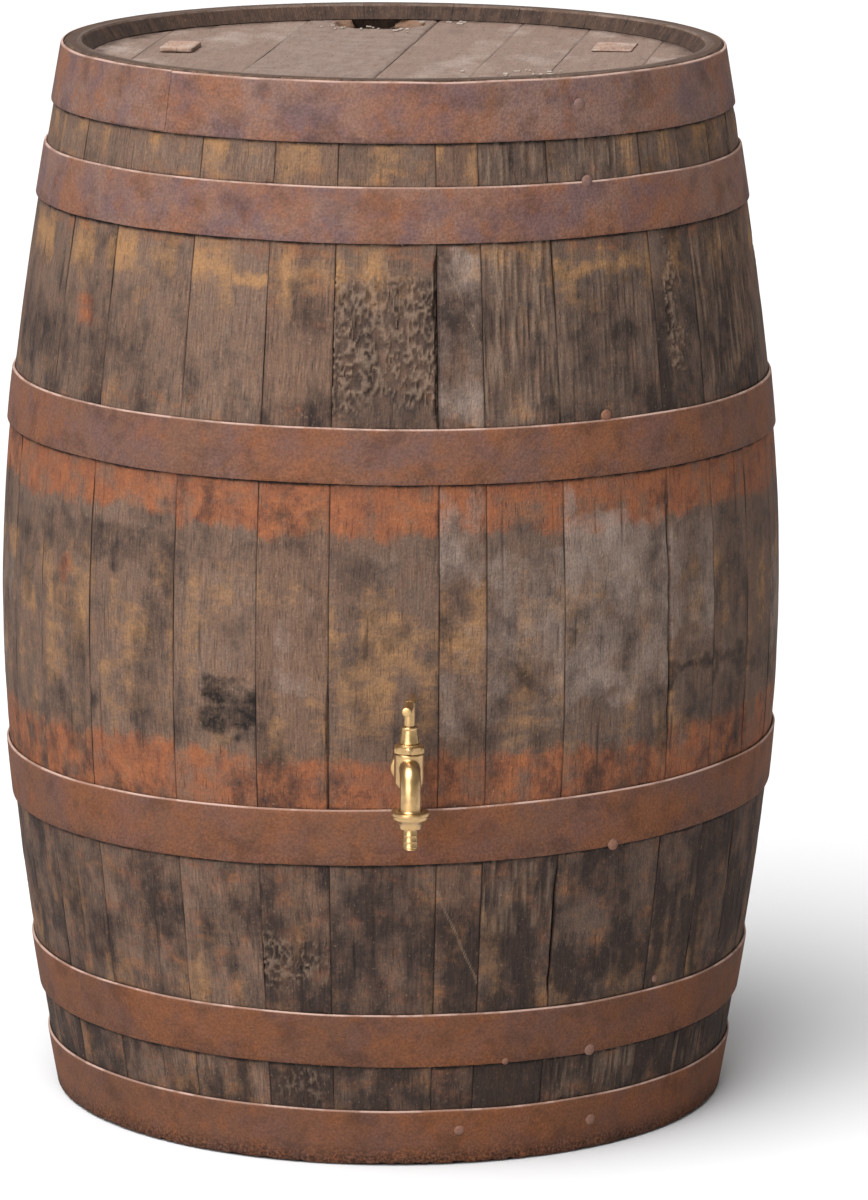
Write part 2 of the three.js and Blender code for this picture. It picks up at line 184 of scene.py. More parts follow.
def noise(x, y, seed):
    """Smooth noise from -1 to 1: lattice numbers blended by 3t^2 - 2t^3 between the four corners."""
    x, y = np.broadcast_arrays(np.asarray(x, float), np.asarray(y, float))
    column, row = np.floor(x).astype(np.int64), np.floor(y).astype(np.int64)
    across, up = x - column, y - row
    across, up = across**2 * (3 - 2 * across), up**2 * (3 - 2 * up)
    low = lattice(column, row, seed) * (1 - across) + lattice(column + 1, row, seed) * across
    high = lattice(column, row + 1, seed) * (1 - across) + lattice(column + 1, row + 1, seed) * across
    return low * (1 - up) + high * up


def layered(x, y, seed, layers=3):
    """Noise at doubling frequency and halving height, added up."""
    return sum(noise(x * 2**i, y * 2**i, seed + i) / 2**i for i in range(layers)) / 1.5


def ease(value, start, end):
    """0 before start, 1 after end, and 3t^2 - 2t^3 in between."""
    t = np.clip((value - start) / (end - start), 0, 1)
    return t * t * (3 - 2 * t)


def shell(rings, closed=False):
    """Closed surface through rings of points: quads from ring to ring, and flat ends or a closed round.
    Gives points, quads and end faces, all facing out: they are turned over if the volume is negative."""
    rings = np.asarray(rings, float)
    rows, columns = rings.shape[:2]
    points = rings.reshape(-1, 3)
    row = np.arange(rows if closed else rows - 1)[:, None]
    column = np.arange(columns)
    beside = (column + 1) % columns
    above = (row + 1) % rows * columns
    row = row * columns
    quads = np.stack([row + column, row + beside, above + beside, above + column], -1).reshape(-1, 4)
    ends = [] if closed else [column[::-1], (rows - 1) * columns + column]
    a, b, c, d = (points[quads[:, i]] - points.mean(0) for i in range(4))
    volume = np.einsum("ij,ij->", a, np.cross(b, c)) + np.einsum("ij,ij->", a, np.cross(c, d))
    if volume < 0:
        quads, ends = quads[:, ::-1], [end[::-1] for end in ends]
    return points, quads, ends


def make(name, shells, material, sharp=None):
    """An object of one or more shells, in metres, shaded smooth up to an angle in degrees if it is given."""
    points, quads, ends, count = [], [], [], 0
    for shell_points, shell_quads, shell_ends in shells:
        points.append(shell_points)
        quads.append(shell_quads + count)
        ends += [end + count for end in shell_ends]
        count += len(shell_points)
    quads = np.concatenate(quads)
    corners = np.concatenate([quads.ravel(), *ends]).astype(np.int32)
    sizes = np.array([4] * len(quads) + [len(end) for end in ends])
    mesh = bpy.data.meshes.new(name)
    mesh.vertices.add(count)
    mesh.vertices.foreach_set("co", (np.concatenate(points) / 1000).astype(np.float32).ravel())
    mesh.loops.add(len(corners))
    mesh.loops.foreach_set("vertex_index", corners)
    mesh.polygons.add(len(sizes))
    mesh.polygons.foreach_set("loop_start", (np.cumsum(sizes) - sizes).astype(np.int32))
    mesh.update(calc_edges=True)
    mesh.shade_smooth()
    if sharp:
        mesh.set_sharp_from_angle(angle=math.radians(sharp))
    mesh.materials.append(material)
    piece = bpy.data.objects.new(name, mesh)
    scene.collection.objects.link(piece)
    return piece


def note(piece, name, *values):
    """Stores three numbers for each point as the attribute that the piece's material reads."""
    points = np.zeros(len(piece.data.vertices))
    numbers = np.stack([points + value for value in values], -1)
    kept = piece.data.attributes.new(name, "FLOAT_VECTOR", "POINT")
    kept.data.foreach_set("vector", numbers.astype(np.float32).ravel())


def lay_grain(piece, along, up):
    """A UV map named grain, in metres, from two lengths in mm for each point."""
    points = np.empty(len(piece.data.loops), np.int32)
    piece.data.loops.foreach_get("vertex_index", points)
    grain = piece.data.uv_layers.new(name="grain")
    flat = np.stack(np.broadcast_arrays(along, up), -1)[points] / 1000
    grain.data.foreach_set("uv", flat.astype(np.float32).ravel())


def turns_of(name):
    """The first and last angle round the axis of a CAD node's points, about the node's own middle."""
    data = frame["nodes"][name].data.vertices
    points = np.empty(3 * len(data))
    data.foreach_get("co", points)
    x, y = points[0::3] * 1000 - AXIS_X, points[1::3] * 1000 - AXIS_Y
    middle = math.atan2(x.mean(), -y.mean())
    off = (np.arctan2(x, -y) - middle + math.pi) % (2 * math.pi) - math.pi
    return middle + off.min(), middle + off.max()


# Weathered oak, split and sawn, rough and dry: fine upright fibres in brown, grey and tan, with soot, rust,
# mould, a painted shadow along the hoops and a painted highlight on blister crests and rib ridges laid over
# them by three attributes of the mesh.
WEATHERED = {
    "dark": "#3a2d27",
    "brown": "#5f4639",
    "tan": "#8a6c58",
    "grey": "#685c54",
    "gold": "#96704c",
    "rust": "#955a39",
    "deep_rust": "#6b4030",
    "pale": "#918076",
    "soot": "#201c1c",
    "soft_soot": "#40312a",
    # near black for mould, pores and joints, and for the painted shadow along the hoops
    "mould_and_shade": "#161312",
    # pale tan for the painted highlight on blister crests and rib ridges, and for scratches and flecks
    "blister": "#98806c",
}
FIBRE = (640, 45)  # cells per metre across and along: a fibre shows as about 1.5 mm wide
STREAK = (150, 13)
BLOTCH = (58, 44)
CLOUD = (21, 16)
DAB = (40, 62)
SPECK = (520, 400)


def mixers(tree):
    """Three short ways to add nodes to a tree: spreading a range, blending colours and doing a sum."""

    def spread(value, low, high, top=1.0):
        """Stretches a range of values to run from 0 to a top."""
        limits = {"Value": value, "From Min": low, "From Max": high, "To Max": top}
        return add(tree, "MapRange", limits).outputs[0]

    def blend(amount, under, over):
        """Lays a colour over another by an amount."""
        return add(tree, "Mix", {0: amount, 6: under, 7: over}, data_type="RGBA").outputs[2]

    def maths(operation, *values, clamp=True):
        """One sum on values or links, kept between 0 and 1 unless it isn't clamped."""
        return add(tree, "Math", dict(enumerate(values)), operation=operation, use_clamp=clamp).outputs[0]

    return spread, blend, maths


def parts(tree, attribute):
    """The three numbers of an attribute."""
    read = add(tree, "Attribute", attribute_name=attribute).outputs["Vector"]
    return add(tree, "SeparateXYZ", {0: read}).outputs


def oak(name, colours):
    """Weathered wood from a dictionary of colours. The attribute stain holds rust, gold and pale;
    wear_and_light holds soot, the painted highlight of blister crests and rib ridges with lighter scratches,
    and joint;
    grime_and_shade holds mould with the painted shadow along the hoops, the piece's tone and warmth."""
    material, tree, output = new_material(name)
    spread, blend, maths = mixers(tree)
    grain = add(tree, "UVMap", uv_map="grain").outputs["UV"]

    def pattern(scale, detail, low=0.32, high=0.68):
        """Noise stretched by a scale along the grain, spread to fill 0 to 1."""
        place = add(tree, "Mapping", {"Vector": grain, "Scale": (*scale, 1)})
        wide = {"Vector": place.outputs[0], "Scale": 1, "Detail": detail, "Roughness": 0.7}
        return spread(add(tree, "TexNoise", wide).outputs["Fac"], low, high)

    def broken(amount, cells, full, top):
        """An amount broken up by a pattern: a small amount shows only in the pattern's peaks."""
        return spread(maths("MULTIPLY_ADD", amount, 1.6, cells, clamp=False), 1.0, full, top)

    paint = {key: linear(colour) for key, colour in colours.items()}
    fibre, streak, speck = pattern(FIBRE, 3, 0.3, 0.7), pattern(STREAK, 4), pattern(SPECK, 2)
    blotch, cloud, dab = pattern(BLOTCH, 7), pattern(CLOUD, 7), pattern(DAB, 6)
    pores = pattern((900, 60), 1, 0.6, 0.72)
    flecks = pattern((330, 260), 3, 0.6, 0.72)
    rust, gold, pale = parts(tree, "stain")
    soot, relief_and_highlight, joint = parts(tree, "wear_and_light")
    mould_and_shade, tone, warmth = parts(tree, "grime_and_shade")

    wood = blend(streak, paint["dark"], paint["brown"])
    wood = blend(maths("MULTIPLY", fibre, maths("ADD", tone, 0.15)), wood, paint["tan"])
    wood = blend(maths("MULTIPLY", dab, 0.5), wood, paint["brown"])
    wood = blend(maths("MULTIPLY", blotch, maths("SUBTRACT", 1.0, warmth)), wood, paint["grey"])
    wood = blend(broken(gold, dab, 1.9, 0.85), wood, paint["gold"])
    iron = blend(blotch, paint["rust"], paint["deep_rust"])
    wood = blend(broken(rust, dab, 2.1, 0.9), wood, iron)
    wood = blend(broken(pale, cloud, 1.9, 0.8), wood, paint["pale"])
    black = blend(maths("MULTIPLY", fibre, 0.75), paint["soot"], paint["soft_soot"])
    wood = blend(broken(soot, blotch, 2.1, 0.92), wood, black)
    # mould, and the painted shadow along the hoops, which shares its mask
    wood = blend(broken(mould_and_shade, dab, 1.8, 0.95), wood, paint["mould_and_shade"])
    # painted highlight on blister crests and rib ridges, and lighter scratches
    wood = blend(relief_and_highlight, wood, paint["blister"])
    wood = blend(maths("MULTIPLY", flecks, 0.35), wood, paint["blister"])
    wood = blend(maths("MULTIPLY", pores, 0.5), wood, paint["mould_and_shade"])
    wood = blend(maths("MULTIPLY", speck, 0.3), wood, paint["soot"])
    wood = blend(joint, wood, paint["mould_and_shade"])
    height = maths("ADD", maths("MULTIPLY", fibre, 0.4), maths("MULTIPLY", blotch, 0.6))
    fine = maths("ADD", maths("MULTIPLY", height, 0.7), maths("MULTIPLY", speck, 0.3))
    bump = add(tree, "Bump", {"Height": fine, "Strength": 0.9, "Distance": 0.0011})
    skin = {"Base Color": wood, "Normal": bump.outputs[0], "Roughness": 0.82, "Specular IOR Level": 0.12}
    surface = add(tree, "BsdfPrincipled", skin)
    tree.links.new(surface.outputs[0], output.inputs[0])
    return material


weathered_oak = oak("weathered riven oak", WEATHERED)

STAVE_THICKNESS = 27
CROZE_INSET = 18.6  # wall left behind the groove
ACROSS, FINE_ACROSS, UPWARDS = 1.8, 1.15, 2.4  # mm between points of the outside; fine on the front staves
INNER_COLUMNS = 5
# depth below the end, and wall left there: chime bevel, lip, croze for the head, then the full wall
CHIME = [(0, 14), (1.2, 14.6), (12.6, 24.4), (12.7, CROZE_INSET), (21.3, CROZE_INSET)]
CHIME += [(21.4, STAVE_THICKNESS), (40, STAVE_THICKNESS)]
HOOP_NAMES = [name for name in frame["nodes"] if "hoop" in name]
HOOP_EDGES = {name: [1000 * corner.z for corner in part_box(name)] for name in HOOP_NAMES}
SKEW = 0.024  # the lower bilge hoop rides up to the right by this slope
LOWER_BILGE_HOOP = (264, 312)  # its edges at the front
# the levels of the outside, before noise and single marks: height, soot, rust, gold
BANDS = [
    (0, 0.8, 0.3, 0), (49, 0.85, 0.35, 0.3), (88, 0.85, 0.35, 0.3), (134, 0.65, 0.35, 0.45),
    (190, 0.75, 0.3, 0.35), (264, 0.6, 0.35, 0.2), (312, 0.4, 0.95, 0.3), (318, 0.4, 0.95, 0.3),
    (352, 0.35, 0.85, 0.3), (366, 0.45, 0.1, 0.3), (425, 0.4, 0, 0.35), (490, 0.35, 0, 0.4),
    (505, 0.35, 0, 0.2), (535, 0.35, 0, 0), (545, 0.2, 0.85, 0.3), (579, 0.15, 0.95, 0.3),
    (624, 0.5, 0.3, 0.3), (690, 0.5, 0, 0.1), (725, 0.4, 0, 0.25), (748, 0.25, 0.1, 0.6),
    (771, 0.25, 0.4, 0.35), (816, 0.2, 0.3, 0.3), (850, 0.15, 0.1, 0.4), (900, 0.3, 0.1, 0),
]
LEVELS, SOOT, RUST, GOLD = zip(*BANDS)
WHOLE = (-1, 2)  # from side to side of a stave, and well past both
# single marks by stave: kind, two heights, strength, and how far across from 0 to 1 if not the whole
MARKS = {
    1: [
        ("gold", 430, 470, 0.6, 0.1, 0.9), ("soot", 480, 530, 0.5), ("soot", 640, 700, 0.3),
    ],
    2: [
        ("gold", 415, 480, 0.5, 0, 1), ("rust", 690, 715, 0.8, 0.1, 0.9), ("soot", 490, 535, 0.6),
        ("rust", 476, 492, 0.9, 0.2, 0.8), ("rib", 640, 760, 0.4, 0, 1), ("pale", 380, 420, 0.3, 0, 0.8),
    ],
    3: [
        ("soot", 495, 538, 0.7), ("gold", 440, 495, 0.5, 0.1, 0.7), ("rust", 478, 500, 0.9, 0.2, 0.4),
        ("soot", 630, 690, 0.4, 0.2, 1.2), ("pale", 590, 620, 0.2, 0.1, 0.9), ("rib", 700, 765, 0.4, 0, 1),
    ],
    4: [
        ("gold", 730, 748, 0.8), ("gold", 440, 490, 0.5, 0, 0.5), ("mould_and_shade", 368, 414, 0.75, 0.2, 1.3),
        ("soot", 500, 535, 0.5), ("blister", 375, 410, 0.5, 0.2, 0.9), ("pale", 420, 460, 0.3, 0.4, 1),
    ],
    5: [
        ("gold", 727, 747, 0.6), ("pale", 395, 480, 0.3, 0, 1), ("blister", 155, 195, 0.9),
        ("blister", 52, 84, 0.7, 0, 1), ("rust", 700, 770, 0.3), ("soot", 490, 520, 0.4, 0, 1),
    ],
    6: [
        ("blister", 636, 742, 1.0), ("soot", 624, 742, 0.65), ("pale", 470, 520, 0.3, 0, 1),
        ("rib", 60, 85, 0.6, 0.5, 1), ("pale", 380, 470, 0.3, 0, 0.5), ("soot", 140, 250, 0.2, 0, 1),
        ("rib", 60, 86, 0.4),
    ],
    7: [
        ("pale", 620, 765, 0.55), ("pale", 495, 575, 0.5), ("soot", 380, 440, 0.35),
        ("scratch", 640, 760, 1.0), ("scratch", 150, 250, 0.8), ("rib", 820, 850, 0.5, 0, 1),
        ("pale", 372, 475, 0.4),
    ],
    8: [
        ("rib", 624, 770, 1.0), ("gold", 748, 771, 0.6), ("pale", 372, 520, 0.45), ("rib", 200, 262, 0.9),
        ("soot", 690, 735, 0.4), ("rib", 818, 850, 0.9),
    ],
    9: [
        ("rib", 640, 735, 0.6), ("gold", 731, 752, 0.8), ("pale", 385, 545, 0.6),
        ("pale", 540, 570, 0.7, -0.2, 0.3), ("mould_and_shade", 395, 412, 0.7, 0.3, 0.6),
        ("rib", 816, 850, 0.8, 0, 1), ("soot", 328, 340, 0.8, 0, 0.7), ("rib", 50, 86, 0.8),
    ],
    10: [
        ("blister", 655, 768, 0.9, 0.1, 0.7), ("soot", 398, 416, 0.9), ("pale", 430, 540, 0.5),
        ("gold", 725, 745, 0.5, 0, 1), ("soot", 345, 355, 0.7, 0, 1), ("rib", 818, 850, 0.7),
        ("rib", 170, 255, 0.5, 0, 1),
    ],
    11: [
        ("rib", 640, 765, 0.9), ("soot", 392, 415, 0.8), ("pale", 440, 520, 0.3, 0, 1),
        ("rib", 50, 86, 0.8),
    ],
    12: [
        ("rib", 640, 765, 0.9), ("soot", 380, 410, 0.6), ("gold", 700, 730, 0.3, 0, 1),
        ("rib", 150, 250, 0.5),
    ],
}
KINDS = ["soot", "rust", "gold", "pale", "mould_and_shade", "rib", "blister", "scratch"]
# joints that have opened: the stave to their left, heights, width
OPEN_JOINTS = [(6, 615, 770, 3.2), (9, 350, 560, 2.2), (5, 300, 420, 1.6), (8, 136, 262, 2.0)]
OPEN_JOINTS += [(3, 640, 700, 1.4)]
TONES = [0.55, 0.6, 0.75, 0.8, 0.65, 0.4, 0.35, 0.35, 0.45, 0.4, 0.35, 0.4]  # tan in staves 1 to 12
# darker on the same staves: below 290 mm from soot and painted shade together, and above 600 mm from more
# soot
LOW_SOOT_AND_SHADE = [0.15, 0.05, -0.1, -0.05, 0.15, 0.05, 0, 0.2, 0.1, 0.15, 0.25, 0.15]
HIGH_SOOT = [0.1, 0.15, -0.05, -0.1, 0, 0, 0.2, 0.2, 0.2, 0.3, 0.25, 0.35]


def own_marks(number):
    """The marks on a stave: those listed, or for the others a few drawn from the stave's own seed."""
    if number in MARKS:
        return MARKS[number]
    draw = np.random.default_rng(number)
    marks = []
    for kind, low, high, tall in [
        ("rib", 630, 690, 90), ("blister", 140, 190, 50), ("gold", 700, 740, 22), ("pale", 380, 470, 90),
        ("soot", 490, 510, 35), ("rib", 818, 822, 26), ("mould_and_shade", 380, 440, 30), ("blister", 640, 700, 60),
    ]:
        if draw.random() < 0.5:
            base = draw.uniform(low, high)
            marks.append((kind, base, base + tall, draw.uniform(0.25, 0.65)))
    return marks


def weathering(number, along, z, width, lift):
    """How each kind of mark lies on a stave: the levels by height, with edges made ragged by upright
    streaks, plus windows with soft sides, all broken up by noise; and a painted shadow along each hoop's
    edges."""
    seed = 100 * number
    lag = 2.5 * noise(along / 3.5, z / 30, seed) + 6 * layered(along / 18, z / 30, seed + 1)
    lag = lag + 7 * lattice(number, 3, 5)
    from_hoop = np.minimum(abs(z - LOWER_BILGE_HOOP[0]), abs(z - LOWER_BILGE_HOOP[1]))
    # beside the skewed hoop the levels follow its edges, and further off they run level
    level = z - lag * ease(from_hoop, 0, 20) - lift * (1 - ease(abs(z - 300), 60, 120))
    masks = dict.fromkeys(KINDS, 0.0)
    streaks = layered(along / 9, z / 90, seed + 2)
    for kind, values in (("soot", SOOT), ("rust", RUST), ("gold", GOLD)):
        masks[kind] = np.interp(level, LEVELS, values)
    masks["soot"] = masks["soot"] * (1 + 0.3 * streaks) + 0.45 * layered(along / 30, z / 42, seed + 4)
    if number <= len(LOW_SOOT_AND_SHADE):
        high_up = np.where(z > 600, HIGH_SOOT[number - 1], 0)
        # below 290 mm soot and painted shade together, above 600 mm soot
        masks["soot"] += np.where(z < 290, LOW_SOOT_AND_SHADE[number - 1], high_up)
    masks["rust"] = masks["rust"] * (1 + 0.35 * noise(along / 11, z / 22, seed + 5))
    masks["gold"] = masks["gold"] * (0.8 + 1.2 * noise(along / 16, z / 50, seed + 6))
    masks["pale"] = 0.3 * layered(along / 40, z / 70, seed + 8)
    masks["rib"] = 0.22 + 0.2 * noise(along / 60, z / 120, seed + 9)
    stray = 9 * layered(along / 16, z / 22, seed + 10, 4)
    share = (along + stray) / width
    fade = 0.3  # share of a stave's width that each side of a mark fades over
    rough = z + lag * 0.8 + 14 * layered(along / 15, z / 13, seed + 11, 4)
    for kind, low, high, strength, *sides in own_marks(number):
        left, right = sides or WHOLE
        window = ease(share, left, left + fade) * (1 - ease(share, right - fade, right))
        window = window * ease(rough, low - 10, low + 10) * (1 - ease(rough, high - 10, high + 10))
        masks[kind] = np.maximum(masks[kind], strength * window * (1 + 0.25 * streaks))
    # A painted shadow: a dark band just under each hoop's lower edge and a fainter one just above its upper
    # edge, laid into the mask that mould uses.
    for name, (low, high) in HOOP_EDGES.items():
        if name == "bilge_hoop_bottom":
            low, high = low + SKEW * BILGE_RADIUS + lift, high - SKEW * BILGE_RADIUS + lift
        below = 0.85 * (1 - ease(low - z, 0.5, 4.5)) * (z < low + 5)
        above = 0.5 * (1 - ease(z - high, 0, 3)) * (z > high - 5)
        masks["mould_and_shade"] = np.maximum(masks["mould_and_shade"], below + above)
    return {kind: np.clip(mask, 0, 1.2) for kind, mask in masks.items()}


def relief_and_highlight(number, along, z, masks):
    """Height of the wood in mm over its outline, and how much painted highlight each point gets on a
    blister's crest or a rib's
    ridge, with lighter scratches: fibres and ribs run up the stave, blisters are the zero lines of warped
    noise, and a few checks are cut in."""
    seed = 100 * number + 50
    fibres = 0.09 * noise(along / 1.9, z / 55, seed) + 0.1 * noise(along / 4.2, z / 90, seed + 1)
    swell = 0.35 * noise(along / 45, z / 160, seed + 2) + 0.15 * noise(along / 20, z / 40, seed + 3)
    ribs = 1.2 * noise(along / 2.2, z / 26, seed + 4) + 0.3 * noise(along / 1.7, z / 12, seed + 5)
    warp = 3.0 * noise(along / 7, z / 7, seed + 6)
    cells = noise((along + warp) / 4.4, (z - warp) / 6, seed + 7)
    folds = np.abs(cells + 0.4 * noise(along / 3, z / 4.2, seed + 8))
    crest = (1 - ease(folds, 0.05, 0.42)) * ease(masks["blister"], 0.15, 0.6)
    checks = ease(noise(along / 3.2, z / 90, seed + 9), 0.84, 0.95)
    slant = np.abs(noise((along + 0.45 * z) / 16, z / 240, seed + 12))
    scratch = (1 - ease(slant, 0.01, 0.05)) * ease(masks["scratch"], 0.2, 0.6)
    height = fibres + swell + 0.9 * masks["rib"] * ribs - 0.5 * checks - 0.35 * scratch
    height = height + masks["blister"] * (2.4 * crest - 1.5)
    # painted highlight: rib ridges and blister crests are made lighter in colour; scratches are lighter bare
    # wood
    rib_highlight = 0.32 * np.clip(ribs, 0, 1) * ease(masks["rib"], 0.3, 1)
    highlight_and_scratch = np.clip(0.34 * crest * masks["blister"] + rib_highlight, 0, 1) + 0.45 * scratch
    return np.clip(height, -2.5, 0.75), np.clip(highlight_and_scratch, 0, 0.8), checks


levels = np.arange(0, CASK_HEIGHT, UPWARDS)
ends = np.array([depth for depth, _ in CHIME])
near_ends = [0.5, 2.5, CASK_HEIGHT - 0.5, CASK_HEIGHT - 2.5]
heights = np.unique(np.concatenate([levels, ends, CASK_HEIGHT - ends, near_ends]))
wall_left = np.interp(np.minimum(heights, CASK_HEIGHT - heights), ends, [wall for _, wall in CHIME])
STAVES = sorted(name for name in frame["nodes"] if name.startswith("stave_"))
for number, name in enumerate(STAVES, 1):
    first, last = turns_of(name)
    width = (last - first) * BILGE_RADIUS
    columns = int(width / (ACROSS if number > len(TONES) else FINE_ACROSS))
    turn = np.linspace(first, last, columns)
    fine = 0.6 / BILGE_RADIUS
    turn = np.sort(np.concatenate([turn, [first + fine, last - fine]]))
    columns = len(turn)
    z = heights[:, None]
    along = (turn - first) * outline(z)
    lift = SKEW * BILGE_RADIUS * np.sin(turn)
    masks = weathering(number, along, z, width, lift)
    height, highlight_and_scratch, checks = relief_and_highlight(number, along, z, masks)
    from_left, from_right = along, (last - first) * outline(z) - along
    worn = 0.5 + 0.4 * noise(z / 23, number, 7)
    left_gap, right_gap = np.zeros_like(z), np.zeros_like(z)
    for left_stave, low, high, gap in OPEN_JOINTS:
        opening = gap * ease(z, low, low + 25) * (1 - ease(z, high - 25, high))
        opening = opening * (0.8 + 0.3 * noise(z / 14, 0, left_stave))
        if number == left_stave:
            right_gap = right_gap + opening
        if number == left_stave + 1:
            left_gap = left_gap + opening * 0.5
    edge = worn * (1 - ease(from_left, 0, 1.4)) + worn * (1 - ease(from_right, 0, 1.4))
    edge = edge + 2.2 * left_gap * (1 - ease(from_left, 0.4 * left_gap, 0.5 + 1.3 * left_gap))
    edge = edge + 2.2 * right_gap * (1 - ease(from_right, 0.4 * right_gap, 0.5 + 1.3 * right_gap))
    end_wear = 1.6 * (1 - ease(np.minimum(z, CASK_HEIGHT - z), 0, 2.5))
    outside = around(outline(z) + height - edge - end_wear, turn, z)
    inner_turn = np.linspace(last, first, INNER_COLUMNS)
    inside = around(outline(z) - wall_left[:, None], inner_turn, z)
    rings = np.concatenate([outside, inside], 1)
    stave = make(name.replace("stave", "oak_stave"), [shell(rings)], weathered_oak, sharp=55)
    pad = np.zeros((len(heights), INNER_COLUMNS))
    seam = 1 - ease(from_left, 0.1, 0.8 + left_gap) * ease(from_right, 0.1, 0.8 + right_gap)
    seam = np.maximum((0.5 + 0.25 * noise(z / 40, number, 13)) * seam, 0.5 * checks)
    seam = seam * np.where(CASK_HEIGHT - z < 4, 0.3, 1)
    tone = TONES[number - 1] if number <= len(TONES) else 0.5 + 0.25 * lattice(number, 1, 9)
    warmth = 0.55 + 0.3 * lattice(number, 2, 9)

    def whole(mask, inner=0.0):
        """A mask of the outside and one value for the inside, for every point of the stave."""
        return np.concatenate([np.broadcast_to(mask, along.shape), pad + inner], 1).ravel()

    at_end = CASK_HEIGHT - z < 1.5
    note(stave, "stain", whole(masks["rust"]), whole(masks["gold"]), whole(masks["pale"], 0.6 * at_end))
    end_grain = at_end + pad[:, :1]
    soot = whole(masks["soot"] * (1 - 0.7 * end_grain), 0.75 - 0.65 * end_grain)
    # soot, the painted highlight of crests and ribs with lighter scratches, and dark joints
    note(stave, "wear_and_light", soot, whole(highlight_and_scratch), whole(seam))
    # mould with the painted shadow along the hoops, the stave's tone and warmth
    note(stave, "grime_and_shade", whole(masks["mould_and_shade"]), whole(tone, 0.3), whole(warmth, 0.6))
    inner_along = np.broadcast_to((inner_turn - first) * BILGE_RADIUS + 500, pad.shape)
    up = np.broadcast_to(z, (len(heights), columns + INNER_COLUMNS))
    lay_grain(stave, (np.concatenate([along, inner_along], 1) + 1000 * number).ravel(), up.ravel())
    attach(stave, "cask")
    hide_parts(name)

# ---- Hoops ----------------------------------------------------------------------------------
# Six flat mild-steel bands, 1.8 mm thick, lapped and riveted at the ends and driven on from each end.
# They have rusted all over; a highlight is painted along their upper edges, and a paler pinkish sheen is
# painted on the upper hoops.

RUSTED = {
    "rust": "#5b3824",
    "orange": "#7c4826",
    "violet": "#51424a",
    "dark": "#301e16",
    # paler pinkish colour: painted sheen on the upper hoops
    "sheen_pink": "#7c6259",
    # light pinkish grey for bare specks and for the painted highlight along upper edges
    "bare": "#a88c80",
}


def rusted_steel(name, colours):
    """Evenly rusted steel from a dictionary of colours. The attribute wear_and_light holds a painted
    highlight along the upper edges (a little on rivet and nail heads), how much paler pinkish painted sheen
    there is, and loose flakes."""
    material, tree, output = new_material(name)
    place = add(tree, "TexCoord").outputs["Object"]
    spread, blend, maths = mixers(tree)
    bare, painted_sheen, flakes = parts(tree, "wear_and_light")

    def pattern(scale, detail, low=0.35, high=0.65):
        """Even noise with so many cells to the metre, spread to fill 0 to 1."""
        wide = {"Vector": place, "Scale": scale, "Detail": detail, "Roughness": 0.62}
        cloud = add(tree, "TexNoise", wide).outputs["Fac"]
        return spread(cloud, low, high)

    paint = {key: linear(colour) for key, colour in colours.items()}
    speck, grit = pattern(430, 2), pattern(900, 1)
    cloud, patch, spot = pattern(11, 5, 0.42, 0.6), pattern(26, 5, 0.45, 0.62), pattern(60, 4, 0.52, 0.68)
    stain = pattern(38, 5, 0.5, 0.66)
    # painted sheen: the upper hoops are paler and pinker, as if catching light from the sky
    steel = blend(painted_sheen, paint["rust"], paint["sheen_pink"])
    steel = blend(maths("MULTIPLY", cloud, 0.5), steel, paint["orange"])
    # violet mottling, stronger where the painted sheen is
    violet = maths("MULTIPLY", patch, maths("ADD", maths("MULTIPLY", painted_sheen, 0.6), 0.15))
    steel = blend(violet, steel, paint["violet"])
    steel = blend(maths("MULTIPLY", spot, 0.4), steel, paint["orange"])
    steel = blend(maths("MULTIPLY", stain, 0.4), steel, paint["dark"])
    steel = blend(maths("MULTIPLY", speck, 0.35), steel, paint["dark"])
    steel = blend(maths("MULTIPLY", grit, 0.05), steel, paint["bare"])
    steel = blend(maths("MULTIPLY", flakes, speck), steel, paint["dark"])
    # painted highlight along the bands' upper edges, a little also on rivet and nail heads
    steel = blend(maths("MULTIPLY", bare, maths("ADD", patch, 0.45)), steel, paint["bare"])
    bump = add(tree, "Bump", {"Height": speck, "Strength": 0.5, "Distance": 0.0005})
    skin = {"Base Color": steel, "Normal": bump.outputs[0], "Roughness": 0.82, "Metallic": 0.0}
    surface = add(tree, "BsdfPrincipled", {**skin, "Specular IOR Level": 0.12})
    tree.links.new(surface.outputs[0], output.inputs[0])
    return material


rust = rusted_steel("rusted mild steel", RUSTED)

BAND_THICKNESS = 1.8
BAND_CLEARANCE = 0.9
BAND_FACE = BAND_CLEARANCE + BAND_THICKNESS
BAND_STEPS = 720
RIVET_SPACING = math.radians(6)
LAP_HALF = math.radians(7)
# hoop, where its lap is in degrees, how much paler pinkish painted sheen it gets (most on the upper hoops),
# how ragged its lower edge is in mm
HOOPS = [
    ("head_hoop_top", -47, 0.75, 0.2),
    ("quarter_hoop_top", 152, 0.7, 0.2),
    ("bilge_hoop_top", 168, 0.3, 0.2),
    ("bilge_hoop_bottom", 204, 0.2, 0.3),
    ("quarter_hoop_bottom", 188, 0.1, 0.3),
    ("head_hoop_bottom", 142, 0.1, 1.6),
]


